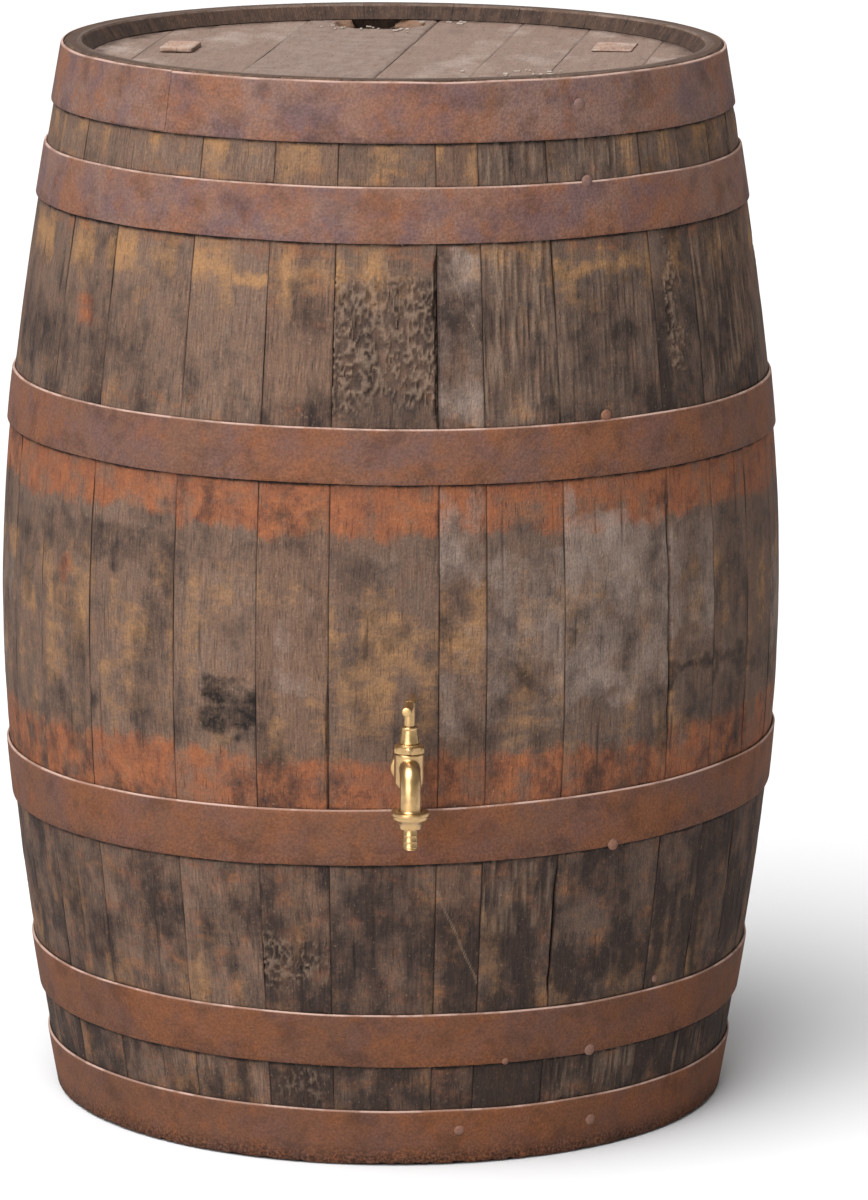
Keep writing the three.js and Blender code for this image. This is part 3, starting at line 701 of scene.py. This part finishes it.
def band(low, high, slope, inner, face, turns, seed, ragged=0.0):
    """A flat band's section, its corners rounded, carried round the cask between two edges that rise to the
    right by a slope and wander a little; and for each point whether it is on an upper edge, where a
    highlight is painted."""
    up = np.array([0, 0.008, 0.03, 0.1, 0.22, 0.36, 0.5, 0.64, 0.78, 0.9, 0.965, 0.985, 1, 1, 0.5, 0])
    out = np.array([0.4, 0.85, 1, 1, 1, 1, 1, 1, 1, 1, 1, 0.85, 0.45, 0, 0, 0])
    turn = turns[:, None]
    along = turn * BILGE_RADIUS
    lift = slope * BILGE_RADIUS * np.sin(turn)
    frayed = ragged * np.clip(noise(along / 5, 0, seed) + 0.6 * noise(along / 2, 0, seed + 1), 0, 1)
    bottom = low + lift + 0.5 * noise(np.cos(turn) * 5, np.sin(turn) * 5, seed + 2) + frayed
    top = high + lift + 0.5 * noise(np.cos(turn) * 6, np.sin(turn) * 6, seed + 3)
    z = bottom + up * (top - bottom)
    dent = 0.3 * noise(np.cos(turn) * 6, np.sin(turn) * 6 + z / 40, seed + 4) * (out > 0.9)
    z = np.minimum(z, CASK_HEIGHT - 0.6)
    rings = around(outline(z) + inner + out * (face - inner) + dent, turn, z)
    # points on the upper edge get a painted highlight
    edge = np.broadcast_to(np.where((up > 0.98) & (out < 1), 0.9, 0.0), z.shape)
    flaking = ragged / 1.6 * (1 - ease(up, 0.05, 0.35)) * np.ones_like(z)
    return rings, edge.ravel(), flaking.ravel()


def spin(profile, columns=48, apothem=None):
    """Rings of a profile of (radius, height) points turned round the Z axis. With an apothem, a point whose
    third value is true is kept inside that hexagon as well."""
    turn = np.linspace(0, 2 * math.pi, columns, endpoint=False)
    rings = []
    for radius, z, *six in profile:
        reach = np.full(columns, float(radius))
        if apothem and six:
            folded = (turn + math.pi / 6) % (math.pi / 3) - math.pi / 6
            reach = np.minimum(reach, apothem / np.cos(folded))
        rings.append(np.stack([reach * np.cos(turn), reach * np.sin(turn), np.full(columns, float(z))], -1))
    return np.array(rings)


def outwards(rings, turn, z, radius):
    """Turned rings laid over so that their axis points out of the cask at an angle, height and radius."""
    tangent = np.array([math.cos(turn), math.sin(turn), 0])
    outward = np.array([math.sin(turn), -math.cos(turn), 0])
    placed = rings[..., :1] * tangent + rings[..., 1:2] * [0, 0, 1] + rings[..., 2:] * outward
    return placed + around(radius, turn, z)


def dome(radius, height, below):
    """Profile of a nail's or rivet's head: an ellipse's quarter, with a short shank underneath."""
    bow = [(radius * math.cos(t), height * math.sin(t)) for t in np.linspace(0, 1.5, 7)]
    return [(0.6 * radius, -below), (0.6 * radius, -0.05), (radius, -0.02), *bow]


for number, (name, lap_at, painted_sheen, ragged) in enumerate(HOOPS):
    low, high = HOOP_EDGES[name]
    slope = SKEW if name == "bilge_hoop_bottom" else 0
    low, high = low + slope * BILGE_RADIUS, high - slope * BILGE_RADIUS
    if name == "head_hoop_bottom":
        low += 0.3  # its wandering edge stays clear of the floor
    every = np.linspace(0, 2 * math.pi, BAND_STEPS, endpoint=False)
    rings, edge, flaking = band(low, high, slope, BAND_CLEARANCE, BAND_FACE, every, 40 * number, ragged)
    shells, edges, flakes = [shell(rings, closed=True)], [edge], [flaking]
    lap_turn = math.radians(lap_at)
    lap = lap_turn + np.linspace(-LAP_HALF, LAP_HALF, 29)
    flush = name == "head_hoop_top"  # its lap hardly shows, and no rivets are seen on it
    lap_face = BAND_FACE + (0.7 if flush else BAND_THICKNESS)
    lap_top = high + (0.4 if flush else -0.8)
    rings, edge, flaking = band(low + 0.8, lap_top, slope, BAND_FACE - 0.6, lap_face, lap, 40 * number + 9)
    shells.append(shell(rings))
    edges.append(edge)
    flakes.append(flaking)
    for side in [] if flush else [-1, 1]:
        turn = lap_turn + side * RIVET_SPACING / 2
        z = (low + high) / 2 + slope * BILGE_RADIUS * math.sin(turn)
        rings = outwards(spin(dome(5, 1.9, 1), 24), turn, z, outline(z) + lap_face - 0.1)
        shells.append(shell(rings))
        # rivet heads get a little of the painted highlight
        edges.append(np.full(rings.shape[0] * rings.shape[1], 0.15))
        flakes.append(np.zeros(rings.shape[0] * rings.shape[1]))
    hoop = make(name.replace("hoop", "steel_hoop"), shells, rust, sharp=50)
    # painted highlight on upper edges, painted sheen, and flakes
    note(hoop, "wear_and_light", np.concatenate(edges), painted_sheen, np.concatenate(flakes))
    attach(hoop, "cask")
    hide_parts(name)

# Clout nails driven through or just beside the hoops into the staves, so that the bands can't slip.
# Each has its turn in degrees, height, head radius and how far the head's underside stands off.
NAILS = [
    (31.9, 877, 5, 2.6), (32.2, 815.7, 5, 2.6), (32.9, 627, 5, 1.0), (34.3, 270, 5, 2.6), (33.5, 91, 5, 2.6),
    (35.3, 27, 5, 2.6), (11.6, 31, 4.5, 2.6), (18.6, 90, 3, 2.6), (46, 141.7, 3, 0.6),
]
shells = []
for degrees, z, radius, stand_off in NAILS:
    head = spin(dome(radius, 0.42 * radius, 1.5), 24)
    shells.append(shell(outwards(head, math.radians(degrees), z, outline(z) + stand_off)))
nails = make("hoop_nails", shells, rust, sharp=50)
# nail heads: a little painted highlight and much painted sheen
note(nails, "wear_and_light", 0.12, 0.6, 0.0)
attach(nails, "cask")

# ---- Heads ----------------------------------------------------------------------------------
# Two flat oak heads, each of boards edge to edge, bevelled on the inside to fit the croze. The top one has
# silvered to a light taupe; one joint has opened and there is a ragged hole near the back.

SILVERED = {
    "dark": "#5a463c",
    "brown": "#80695d",
    "tan": "#92786a",
    "grey": "#8a7970",
    "gold": "#8a6747",
    "rust": "#7f5644",
    "deep_rust": "#5e4638",
    "pale": "#a5958b",
    "soot": "#40332d",
    "soft_soot": "#5a483e",
    "mould_and_shade": "#241b17",
    "blister": "#a8968a",
}
silvered_oak = oak("silvered oak head boards", SILVERED)

RECESS = 13
HEAD_THICKNESS, HEAD_EDGE, HEAD_BEVEL, HEAD_TONGUE = 20, 8, 30, 9
HEAD_CLEARANCE = 1.3
HEAD_TURN = math.radians(-7.8)
TOP_JOINTS = [-212, -107, 4, 81, 143, 214]
OPENED = TOP_JOINTS[2]  # the joint that has opened
BOTTOM_JOINTS = [-176, -88, 6, 97, 181]
DOWNPIPE_HOLE = (-43, 222, 39)  # across and along the boards, and its radius
HEAD_PITCH = 3.5  # mm between points of a board's face


def on_head(x, y, z, turn=HEAD_TURN):
    """Points from across and along the boards of a head to their place in the frame."""
    x, y, z = np.broadcast_arrays(x, y, z)
    c, s = math.cos(turn), math.sin(turn)
    return np.stack([AXIS_X + c * x - s * y, AXIS_Y + s * x + c * y, z], -1)


def board_shell(left, right, radius, seed, open_left=0.0, open_right=0.0):
    """One board of a disc, face up at z 0: every line along the grain runs from rim to rim, the face has
    worn edges and raised grain, and the underside thins to the bevel's edge. Also each point's place
    across and along, and how near it is to a joint."""
    columns = int((right - left) / HEAD_PITCH) + 8
    ease_in = (1 - np.cos(np.linspace(0, math.pi, columns))) / 2
    x = left + (right - left) * (0.35 * ease_in + 0.65 * np.linspace(0, 1, columns))
    reach = np.sqrt(np.maximum(radius**2 - x**2, 9))
    share = np.sin(np.linspace(-math.pi / 2, math.pi / 2, int(2 * radius / HEAD_PITCH)))[:, None]
    y = share * reach
    x = np.broadcast_to(x, y.shape)
    from_left, from_right = x - left, right - x
    round_left = ease(np.broadcast_to(from_left, y.shape), 0, 1 + 1.5 * open_left)
    round_right = ease(np.broadcast_to(from_right, y.shape), 0, 1 + 1.5 * open_right)
    worn = (0.3 + open_left) * (1 - round_left) + (0.3 + open_right) * (1 - round_right)
    grain = 0.22 * noise(x / 3.1, y / 60, seed) + 0.12 * noise(x / 7, y / 90, seed + 1)
    cupped = 0.5 * noise(x / 70, y / 150, seed + 2) - 0.35
    dents = 0.5 * ease(noise(x / 9, y / 13, seed + 3), 0.75, 0.95)
    face = np.minimum(cupped + grain, 0) - worn - dents
    rim = radius - np.hypot(x, y)
    under = np.interp(rim, [0, HEAD_TONGUE, HEAD_BEVEL], [-HEAD_EDGE, -HEAD_EDGE, -HEAD_THICKNESS])
    top = np.stack([x, y, face], -1)
    below = np.stack([x, y, under], -1)[:, ::-1][:, :: max(1, columns // 8)]
    dark_left = (0.25 + 0.3 * open_left) * (1 - ease(from_left, 0.2, 0.8 + open_left))
    seam = dark_left + (0.25 + 0.3 * open_right) * (1 - ease(from_right, 0.2, 0.8 + open_right))
    seam = np.concatenate([np.broadcast_to(seam, y.shape), np.zeros(below.shape[:2])], 1)
    return np.concatenate([top, below], 1), seam


def board(name, left, right, radius, place, seed, gaps=(0, 0)):
    """Makes a head board and lays the marks of weather on it."""
    rings, seam = board_shell(left + 0.2, right - 0.2, radius, seed, *gaps)
    x, y = rings[..., 0], rings[..., 1]
    made = make(name, [shell(place(x, y, rings[..., 2]))], silvered_oak, sharp=60)
    rim = radius - np.hypot(x, y)
    # darker towards the rim, where the head meets the staves
    rim_darkening = 0.75 * (1 - ease(rim + 6 * noise(x / 12, y / 12, seed + 5), 4, 26))
    soot = np.clip(0.18 + 0.3 * layered(x / 26, y / 80, seed + 6) + rim_darkening, 0, 1)
    rusty = np.clip(0.35 * layered(x / 30, y / 60, seed + 7), 0, 1)
    pale = np.clip(0.3 + 0.5 * layered(x / 40, y / 90, seed + 8), 0, 1)
    note(made, "stain", rusty.ravel(), 0.0, pale.ravel())
    note(made, "wear_and_light", soot.ravel(), 0.0, np.clip(seam, 0, 0.9).ravel())
    note(made, "grime_and_shade", 0.0, 0.4, 0.5)
    lay_grain(made, x.ravel() + 700 * seed, y.ravel())
    return made


def boards_between(joints):
    """The left and right edge of each board."""
    edge = [-BILGE_RADIUS, *joints, BILGE_RADIUS]
    return zip(edge[:-1], edge[1:])


head_radius = float(outline(CASK_HEIGHT - RECESS)) - CROZE_INSET - HEAD_CLEARANCE
top_boards = []
for i, (left, right) in enumerate(boards_between(TOP_JOINTS), 1):
    left, right = max(left, 1 - head_radius), min(right, head_radius - 1)
    gaps = (1.5 if left == OPENED else 0, 1.1 if right == OPENED else 0)
    top = board(
        f"head_board_{i}", left, right, head_radius,
        lambda x, y, z: on_head(x, y, CASK_HEIGHT - RECESS + z), 900 + 20 * i, gaps,
    )
    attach(top, "cask")
    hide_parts(f"top_head_board_{i}")
    top_boards.append(top)

base_radius = float(outline(RECESS)) - CROZE_INSET - HEAD_CLEARANCE
for i, (left, right) in enumerate(boards_between(BOTTOM_JOINTS), 1):
    left, right = max(left, 1 - base_radius), min(right, base_radius - 1)
    under = board(
        f"base_board_{i}", left, right, base_radius,
        lambda x, y, z: around(0, 0, 0) + np.stack([x, -y, RECESS - z], -1), 1200 + 20 * i,
    )
    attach(under, "cask")
    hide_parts(f"bottom_head_board_{i}")


def apply(piece):
    """Replaces a piece's mesh by what its modifiers make of it."""
    bpy.context.view_layer.update()
    done = bpy.data.meshes.new_from_object(piece.evaluated_get(bpy.context.evaluated_depsgraph_get()))
    piece.modifiers.clear()
    piece.data = done


def combine(piece, tool, operation, materials="INDEX"):
    """Joins a tool to a piece, or cuts it out, and removes the tool."""
    step = piece.modifiers.new(operation, "BOOLEAN")
    step.object, step.operation, step.solver = tool, operation, "EXACT"
    step.material_mode = materials
    apply(piece)
    bpy.data.objects.remove(tool)


# The hole is cut roughly, so its edge is splintered bare wood. The cutter is a column whose radius
# wanders and which flares where splinters have lifted at the face.
RAW = {
    **SILVERED,
    "dark": "#6b4a35",
    "brown": "#93694c",
    "tan": "#b88f72",
    "grey": "#8b7465",
    "soot": "#4a3629",
}
raw_oak = oak("freshly torn oak", RAW)
across, along, hole_radius = DOWNPIPE_HOLE
hole_turn = np.linspace(0, 2 * math.pi, 120, endpoint=False)
depths = np.array([-26, -14, -6, -2.5, -1.0, 1.5, 5])
flare = np.interp(depths, [-26, -6, 0, 5], [-3, 0, 4.5, 8])[:, None]
chips = 1.6 * noise(hole_turn * 9, depths[:, None] / 6, 31) + 2.6 * noise(hole_turn * 3.2, 0, 33)
chips = chips + 1.2 * noise(hole_turn * 22, depths[:, None] / 3, 35)
reach = np.minimum(hole_radius - 3.5 + flare + chips, hole_radius + 4)
hole_depths = CASK_HEIGHT - RECESS + depths[:, None]
bore = on_head(across + reach * np.cos(hole_turn), along + reach * np.sin(hole_turn), hole_depths)
cutter = make("hole_cutter", [shell(bore)], raw_oak)
note(cutter, "grime_and_shade", 0.0, 0.8, 1.0)
lay_grain(cutter, (hole_turn * 40 + depths[:, None]).ravel(), (0 * hole_turn + depths[:, None] * 6).ravel())
combine(top_boards[2], cutter, "DIFFERENCE", "TRANSFER")

# ---- Odds and ends on the top head ----------------------------------------------------------
# A raised block and a thin patch lie on the boards, and flakes of pale wood and old paint lie along
# the front edge and beside the hole.

PALE_WOOD = {
    **SILVERED,
    "dark": "#84695b",
    "brown": "#9c7b6b",
    "tan": "#b39786",
    "grey": "#9f8b80",
    "pale": "#d8cabd",
}
pale_wood = oak("bare planed softwood", PALE_WOOD)


def slab(x, y, z, width, length, thick, seed):
    """A small flat block on a head: a rounded square section carried along its length, chipped by noise."""
    turn = np.linspace(0, 2 * math.pi, 32, endpoint=False) + 0.01
    square = np.maximum(abs(np.cos(turn)), abs(np.sin(turn)))
    rows = np.array([-0.5, -0.49, -0.46, -0.3, -0.1, 0.1, 0.3, 0.46, 0.49, 0.5])[:, None]
    shrink = np.array([0.8, 0.94, 1, 1, 1, 1, 1, 1, 0.94, 0.8])[:, None]
    wander = 1 + 0.06 * noise(rows * 9, turn, seed)
    side = width / 2 * np.cos(turn) / square * shrink * wander
    rise = thick / 2 * (1 + np.sin(turn) / square * shrink)
    return shell(on_head(x + side, y + rows * length + 0 * turn, z + rise))


head_face = CASK_HEIGHT - RECESS
PATCHES = [("head_patch_left", -183, 8, 28, 52, 3.5), ("head_patch_right", 178, 82, 34, 58, 0.9)]
for i, (name, x, y, width, length, thick) in enumerate(PATCHES):
    block = slab(x, y, head_face + 0.3, width, length, thick, 50 + i)
    patch = make(name.replace("patch", "batten"), [block], pale_wood)
    note(patch, "stain", 0.0, 0.0, 0.35)
    note(patch, "wear_and_light", 0.12 + 0.3 * i, 0.0, 0.0)
    note(patch, "grime_and_shade", 0.0, 0.7, 0.9)
    corner = np.array([vertex.co[:] for vertex in patch.data.vertices]) * 1000
    lay_grain(patch, corner[:, 0], corner[:, 1])
    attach(patch, "cask")
    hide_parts(name)

draw = np.random.default_rng(12)
flakes = []
# where they lie, across and along the boards, how far they scatter and how many there are
LITTER = [(126, -104, 22, 14), (80, -216, 10, 5), (18, 240, 9, 9), (-62, 178, 16, 8), (-20, 180, 12, 6)]
for x, y, scatter, count in LITTER:
    for _ in range(count):
        place = draw.normal(0, scatter, 2) * [1.3, 0.7]
        size = draw.uniform(1.5, 5.5, 2)
        flakes.append(slab(x + place[0], y + place[1], head_face - 0.1, size[0], size[1], 0.9, len(flakes)))
flaked = make("head_flakes", flakes, pale_wood)
note(flaked, "stain", 0.0, 0.0, 0.9)
note(flaked, "grime_and_shade", 0.0, 0.9, 0.9)
each = np.arange(len(flaked.data.vertices), dtype=float)
lay_grain(flaked, 0 * each, each)
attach(flaked, "cask")

# ---- Bung -----------------------------------------------------------------------------------
# A turned hardwood bung closes the hole at the bilge, on the side away from the tap. It tapers inwards, its
# face shows the lathe's rings, and it is drawn straight out.

BUNG_WOOD = {
    **SILVERED,
    "dark": "#6a523c",
    "brown": "#8a6d50",
    "tan": "#a58666",
    "grey": "#8f7d6a",
}
bung_wood = oak("turned hardwood", BUNG_WOOD)
BUNG_TURN = math.radians(178)
BUNG_RADIUS, BUNG_LENGTH, BUNG_PROUD = 25, 36, 6
inner_end = BUNG_PROUD - BUNG_LENGTH
ring_radii = np.arange(BUNG_RADIUS - 2.5, 1, -0.75)
face_rings = [(r, BUNG_PROUD - 0.25 * (r % 3 < 1.5) - 0.01 * r) for r in ring_radii]
bung_profile = [(20, inner_end), (22.5, inner_end + 0.4), (23.5, inner_end + 1.5)]
bung_profile += [(BUNG_RADIUS - 0.1, BUNG_PROUD - 2), (BUNG_RADIUS - 0.8, BUNG_PROUD - 0.7), *face_rings]
bung_rings = spin(bung_profile, 72)
plug = shell(outwards(bung_rings, BUNG_TURN, BILGE_HEIGHT, BILGE_RADIUS))
bung = make("turned_bung", [plug], bung_wood, sharp=40)
note(bung, "stain", 0.0, 0.1, 0.3)
note(bung, "wear_and_light", 0.15, 0.0, 0.0)
note(bung, "grime_and_shade", 0.0, 0.6, 0.8)
lay_grain(bung, bung_rings[..., 0].ravel(), (bung_rings[..., 1] + 2 * bung_rings[..., 2]).ravel())
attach(bung, "bung")
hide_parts("bung")

# ---- Tap ------------------------------------------------------------------------------------
# A half-inch bib tap: a cast brass body screwed through a stave, with a turned bonnet, gland nut and
# spindle, a plain tee bar, and a hose union on the spout. It is polished bright and a little tarnished.

brass, tree, output = new_material("polished cast brass")
spread, blend, _ = mixers(tree)
place = add(tree, "TexCoord").outputs["Object"]
tarnish = add(tree, "TexNoise", {"Vector": place, "Scale": 160, "Detail": 3}).outputs[0]
pits = add(tree, "TexNoise", {"Vector": place, "Scale": 900, "Detail": 2}).outputs[0]
metal = blend(spread(tarnish, 0.42, 0.72, 0.6), linear("#c09a60"), linear("#86663c"))
gloss = add(tree, "MapRange", {"Value": pits, "To Min": 0.26, "To Max": 0.42}).outputs[0]
bump = add(tree, "Bump", {"Height": pits, "Strength": 0.12, "Distance": 0.0002})
skin = {"Base Color": metal, "Metallic": 1.0, "Roughness": gloss, "Normal": bump.outputs[0]}
surface = add(tree, "BsdfPrincipled", {**skin, "Coat Weight": 1.0, "Coat IOR": 1.6, "Coat Roughness": 0.3})
tree.links.new(surface.outputs[0], output.inputs[0])

rubber, tree, output = new_material("moulded black rubber")
_, blend, _ = mixers(tree)
place = add(tree, "TexCoord").outputs["Object"]
bloom = add(tree, "TexNoise", {"Vector": place, "Scale": 500, "Detail": 2}).outputs[0]
black = blend(bloom, linear("#1d1b1a"), linear("#343130"))
surface = add(tree, "BsdfPrincipled", {"Base Color": black, "Roughness": 0.72})
tree.links.new(surface.outputs[0], output.inputs[0])

hinge = next(joint for joint in frame["joints"] if joint["name"] == "handle_turn")
CHAMBER = np.array([1000 * hinge["pos_m"][0], 1000 * hinge["pos_m"][1]])
TAP_TURN = math.atan2(CHAMBER[0] - AXIS_X, AXIS_Y - CHAMBER[1])
washer_low, washer_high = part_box("tap_wall_washer")
TAP_HEIGHT = 500 * (washer_low.z + washer_high.z)
TAP_ROOT = float(outline(TAP_HEIGHT))
CHAMBER_REACH = math.hypot(CHAMBER[0] - AXIS_X, CHAMBER[1] - AXIS_Y) - TAP_ROOT
nut_low, nut_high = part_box("hose_union_nut")
SPOUT = np.array([500 * (nut_low.x + nut_high.x), 500 * (nut_low.y + nut_high.y)])
SPOUT_REACH = math.hypot(SPOUT[0] - AXIS_X, SPOUT[1] - AXIS_Y) - TAP_ROOT
THREAD_RADIUS = 10.2
SPINDLE_RADIUS = 4.05
SLACK = 0.3


def upright(rings, centre):
    """Turned rings stood on end at the tap's height, over a point of the plan."""
    return rings + [*centre, TAP_HEIGHT]


def facing(rings):
    """Turned rings laid along the tap's inlet, measured outwards from the staves."""
    return outwards(rings, TAP_TURN, TAP_HEIGHT, TAP_ROOT)


def spout(radius, end_height, start=0.0):
    """A round bar carried from the chamber forwards and down: its centre line is a Bezier curve."""
    t = np.linspace(start, 1, 33)[:, None]
    knots = np.array([[CHAMBER_REACH, 8], [SPOUT_REACH - 4, 8], [SPOUT_REACH, 4], [SPOUT_REACH, end_height]])
    weights = np.concatenate([(1 - t) ** 3, 3 * t * (1 - t) ** 2, 3 * t**2 * (1 - t), t**3], 1)
    line = weights @ knots
    heading = np.gradient(line, axis=0)
    heading /= np.linalg.norm(heading, axis=1, keepdims=True)
    turn = np.linspace(0, 2 * math.pi, 40, endpoint=False)
    side, over = radius * np.cos(turn), radius * np.sin(turn)
    reach = line[:, :1] - over * heading[:, 1:]
    height = line[:, 1:] + over * heading[:, :1]
    return facing(np.stack([side + 0 * reach, height, reach], -1))


def joined(name, solids, cuts, voxel):
    """One cast body: the solids fused and the cuts taken out, remeshed in voxels of a size in mm, so that
    the corners between them run into each other, and relaxed."""
    base = make(name, [shell(solids[0])], brass)
    steps = [("UNION", more) for more in solids[1:]] + [("DIFFERENCE", less) for less in cuts]
    for operation, rings in steps:
        combine(base, make("tool", [shell(rings)], brass), operation)
    grains = base.modifiers.new("grains", "REMESH")
    grains.mode, grains.voxel_size, grains.use_smooth_shade = "VOXEL", voxel / 1000, True
    relax = base.modifiers.new("relax", "SMOOTH")
    relax.factor, relax.iterations = 0.5, 6
    apply(base)
    return base


def turned(name, profile, centre, columns=48, apothem=None, sharp=30):
    """A brass piece turned from a closed profile, stood on end over a point of the plan."""
    rings = upright(spin(profile, columns, apothem), centre)
    return make(name, [shell(rings, closed=True)], brass, sharp=sharp)


inlet = [
    (THREAD_RADIUS - 0.6, -48), (THREAD_RADIUS, -47.2), (THREAD_RADIUS, 4.5), (13.2, 4.5), (13.8, 5.1),
    (13.8, 7.8), (13, 8.6), (11, 9.6), (9, 11.5), (8.5, 13.5), (8.8, CHAMBER_REACH), (1, CHAMBER_REACH),
]
chamber = [
    (1, -12), (5, -11.6), (8.4, -10.4), (10.8, -8), (12.2, -5), (12.2, 18.6), (11.8, 19.3), (10.2, 19.7),
    (1, 19.7),
]
valve_bore = [(1.3, -7.5), (7, -7.5), (7, 6.5), (5, 6.5), (5, 8.5), (9.7, 8.5), (9.7, 21), (1.3, 21)]
tap_body = joined(
    "tap_casting",
    [
        facing(spin(inlet)),
        upright(spin(chamber), CHAMBER),
        spout(8.5, -31),
        upright(spin([(1, -31), (9.2, -31), (9.2, -23), (1, -23)]), SPOUT),
    ],
    [
        facing(spin([(1, -50), (6, -50), (6, CHAMBER_REACH - 3), (1, CHAMBER_REACH - 3)])),
        upright(spin(valve_bore, 44), CHAMBER),
        spout(5.3, -32, 0.14),
    ],
    0.45,
)

washer_bore = THREAD_RADIUS + SLACK
washer_profile = [(washer_bore, 1.4), (12.6, 1.4), (13, 1.9), (13, 3.7), (12.6, 4.2), (washer_bore, 4.2)]
washer_shell = shell(facing(spin(washer_profile)), closed=True)
wall_washer = make("tap_flange_washer", [washer_shell], rubber, sharp=40)

HEXAGON = 11.9  # half the bonnet's width across its flats
bonnet = turned("tap_bonnet_hexagon", [
    (7.3, 14), (9.2, 14), (9.4, 14.3), (9.4, 20), (12.6, 20, True), (13.75, 20.6, True), (13.75, 24.2, True),
    (12.3, 25.2, True), (9.6, 26.6), (9.2, 27), (5.8, 27.2), (5.8, 34), (4.35, 34), (4.35, 25), (6, 25),
    (6, 18.8), (7.3, 18.8),
], CHAMBER, 96, HEXAGON, 25)
gland_nut = turned("tap_gland_cap", [
    (6.1, 27.3), (7.9, 27.3), (8.2, 27.9), (7.9, 29.2), (7.6, 30.6), (6.5, 38.4), (6.9, 39), (7, 40.3),
    (6.6, 41), (SPINDLE_RADIUS + SLACK, 41), (SPINDLE_RADIUS + SLACK, 34.3), (6.1, 34.3),
], CHAMBER)
union_nut = turned("hose_union_collar", [
    (9.6, -22.8), (14.5, -22.8), (15.3, -23.2), (15.5, -23.8), (15.5, -25.7), (15, -26.3), (14.2, -26.5),
    (14.2, -28.8), (13.6, -29.6), (11, -31.6), (9.6, -34), (9, -36.9), (8.6, -37.3), (6.8, -37.3),
    (6.8, -34.9), (9.3, -34.9),
], SPOUT, 72)
barbs = []
for i in range(3):
    top = -38.5 - 5 * i
    barbs += [(5.5, top), (6.3, top - 3.3), (6.45, top - 3.8), (6.2, top - 4.3), (5.5, top - 4.7)]
hose_tail = turned("hose_tail_barbed", [
    (3.9, -31.4), (8.9, -31.4), (8.9, -34.6), (5.5, -34.6), *barbs, (5.9, -53.8), (5.6, -54.2), (3.9, -54.2),
], SPOUT)

for piece, node in [
    (tap_body, "tap_body"), (bonnet, "tap_bonnet"), (gland_nut, "tap_gland_nut"),
    (union_nut, "hose_union_nut"), (hose_tail, "hose_tail"),
]:
    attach(piece, "cask")
    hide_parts(node)
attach(wall_washer, "cask")
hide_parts("tap_wall_washer")

BAR_HEIGHT, BAR_HALF, BAR_RADIUS = 58.5, 27.5, 3.8
BAR_TURN = TAP_TURN + math.radians(-7.5)
stem = spin([
    (0.4, 19.4), (2.6, 19.4), (2.6, 13.6), (5.2, 13.6), (5.5, 13.9), (5.5, 19.1), (5.2, 19.4),
    (SPINDLE_RADIUS, 19.5), (SPINDLE_RADIUS, 41.6), (4.5, 42), (4.5, 60.2), (4.3, 61), (3.6, 62),
    (2.3, 62.8), (0.4, 63),
])
bar = spin([
    (0.3, -BAR_HALF), (3.2, -BAR_HALF), (3.6, -BAR_HALF + 0.2), (BAR_RADIUS, -BAR_HALF + 0.6),
    (BAR_RADIUS, BAR_HALF - 0.6), (3.6, BAR_HALF - 0.2), (3.2, BAR_HALF), (0.3, BAR_HALF),
], 40)
across_bar = np.array([math.cos(BAR_TURN), math.sin(BAR_TURN), 0])
along_bar = np.array([math.sin(BAR_TURN), -math.cos(BAR_TURN), 0])
bar = bar[..., :1] * across_bar + bar[..., 1:2] * [0, 0, 1] + bar[..., 2:] * along_bar
bar = bar + [*CHAMBER, TAP_HEIGHT + BAR_HEIGHT]
spindle = make("tap_spindle_tee", [shell(upright(stem, CHAMBER)), shell(bar)], brass, sharp=30)
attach(spindle, "spindle")
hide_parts("tap_spindle")

# Hidden working parts keep their CAD shapes: the lock nut inside the cask, the jumper and its washer.
for node, material in [("tap_back_nut", brass), ("tap_jumper", brass), ("tap_jumper_washer", rubber)]:
    frame["nodes"][node].data.materials.clear()
    frame["nodes"][node].data.materials.append(material)
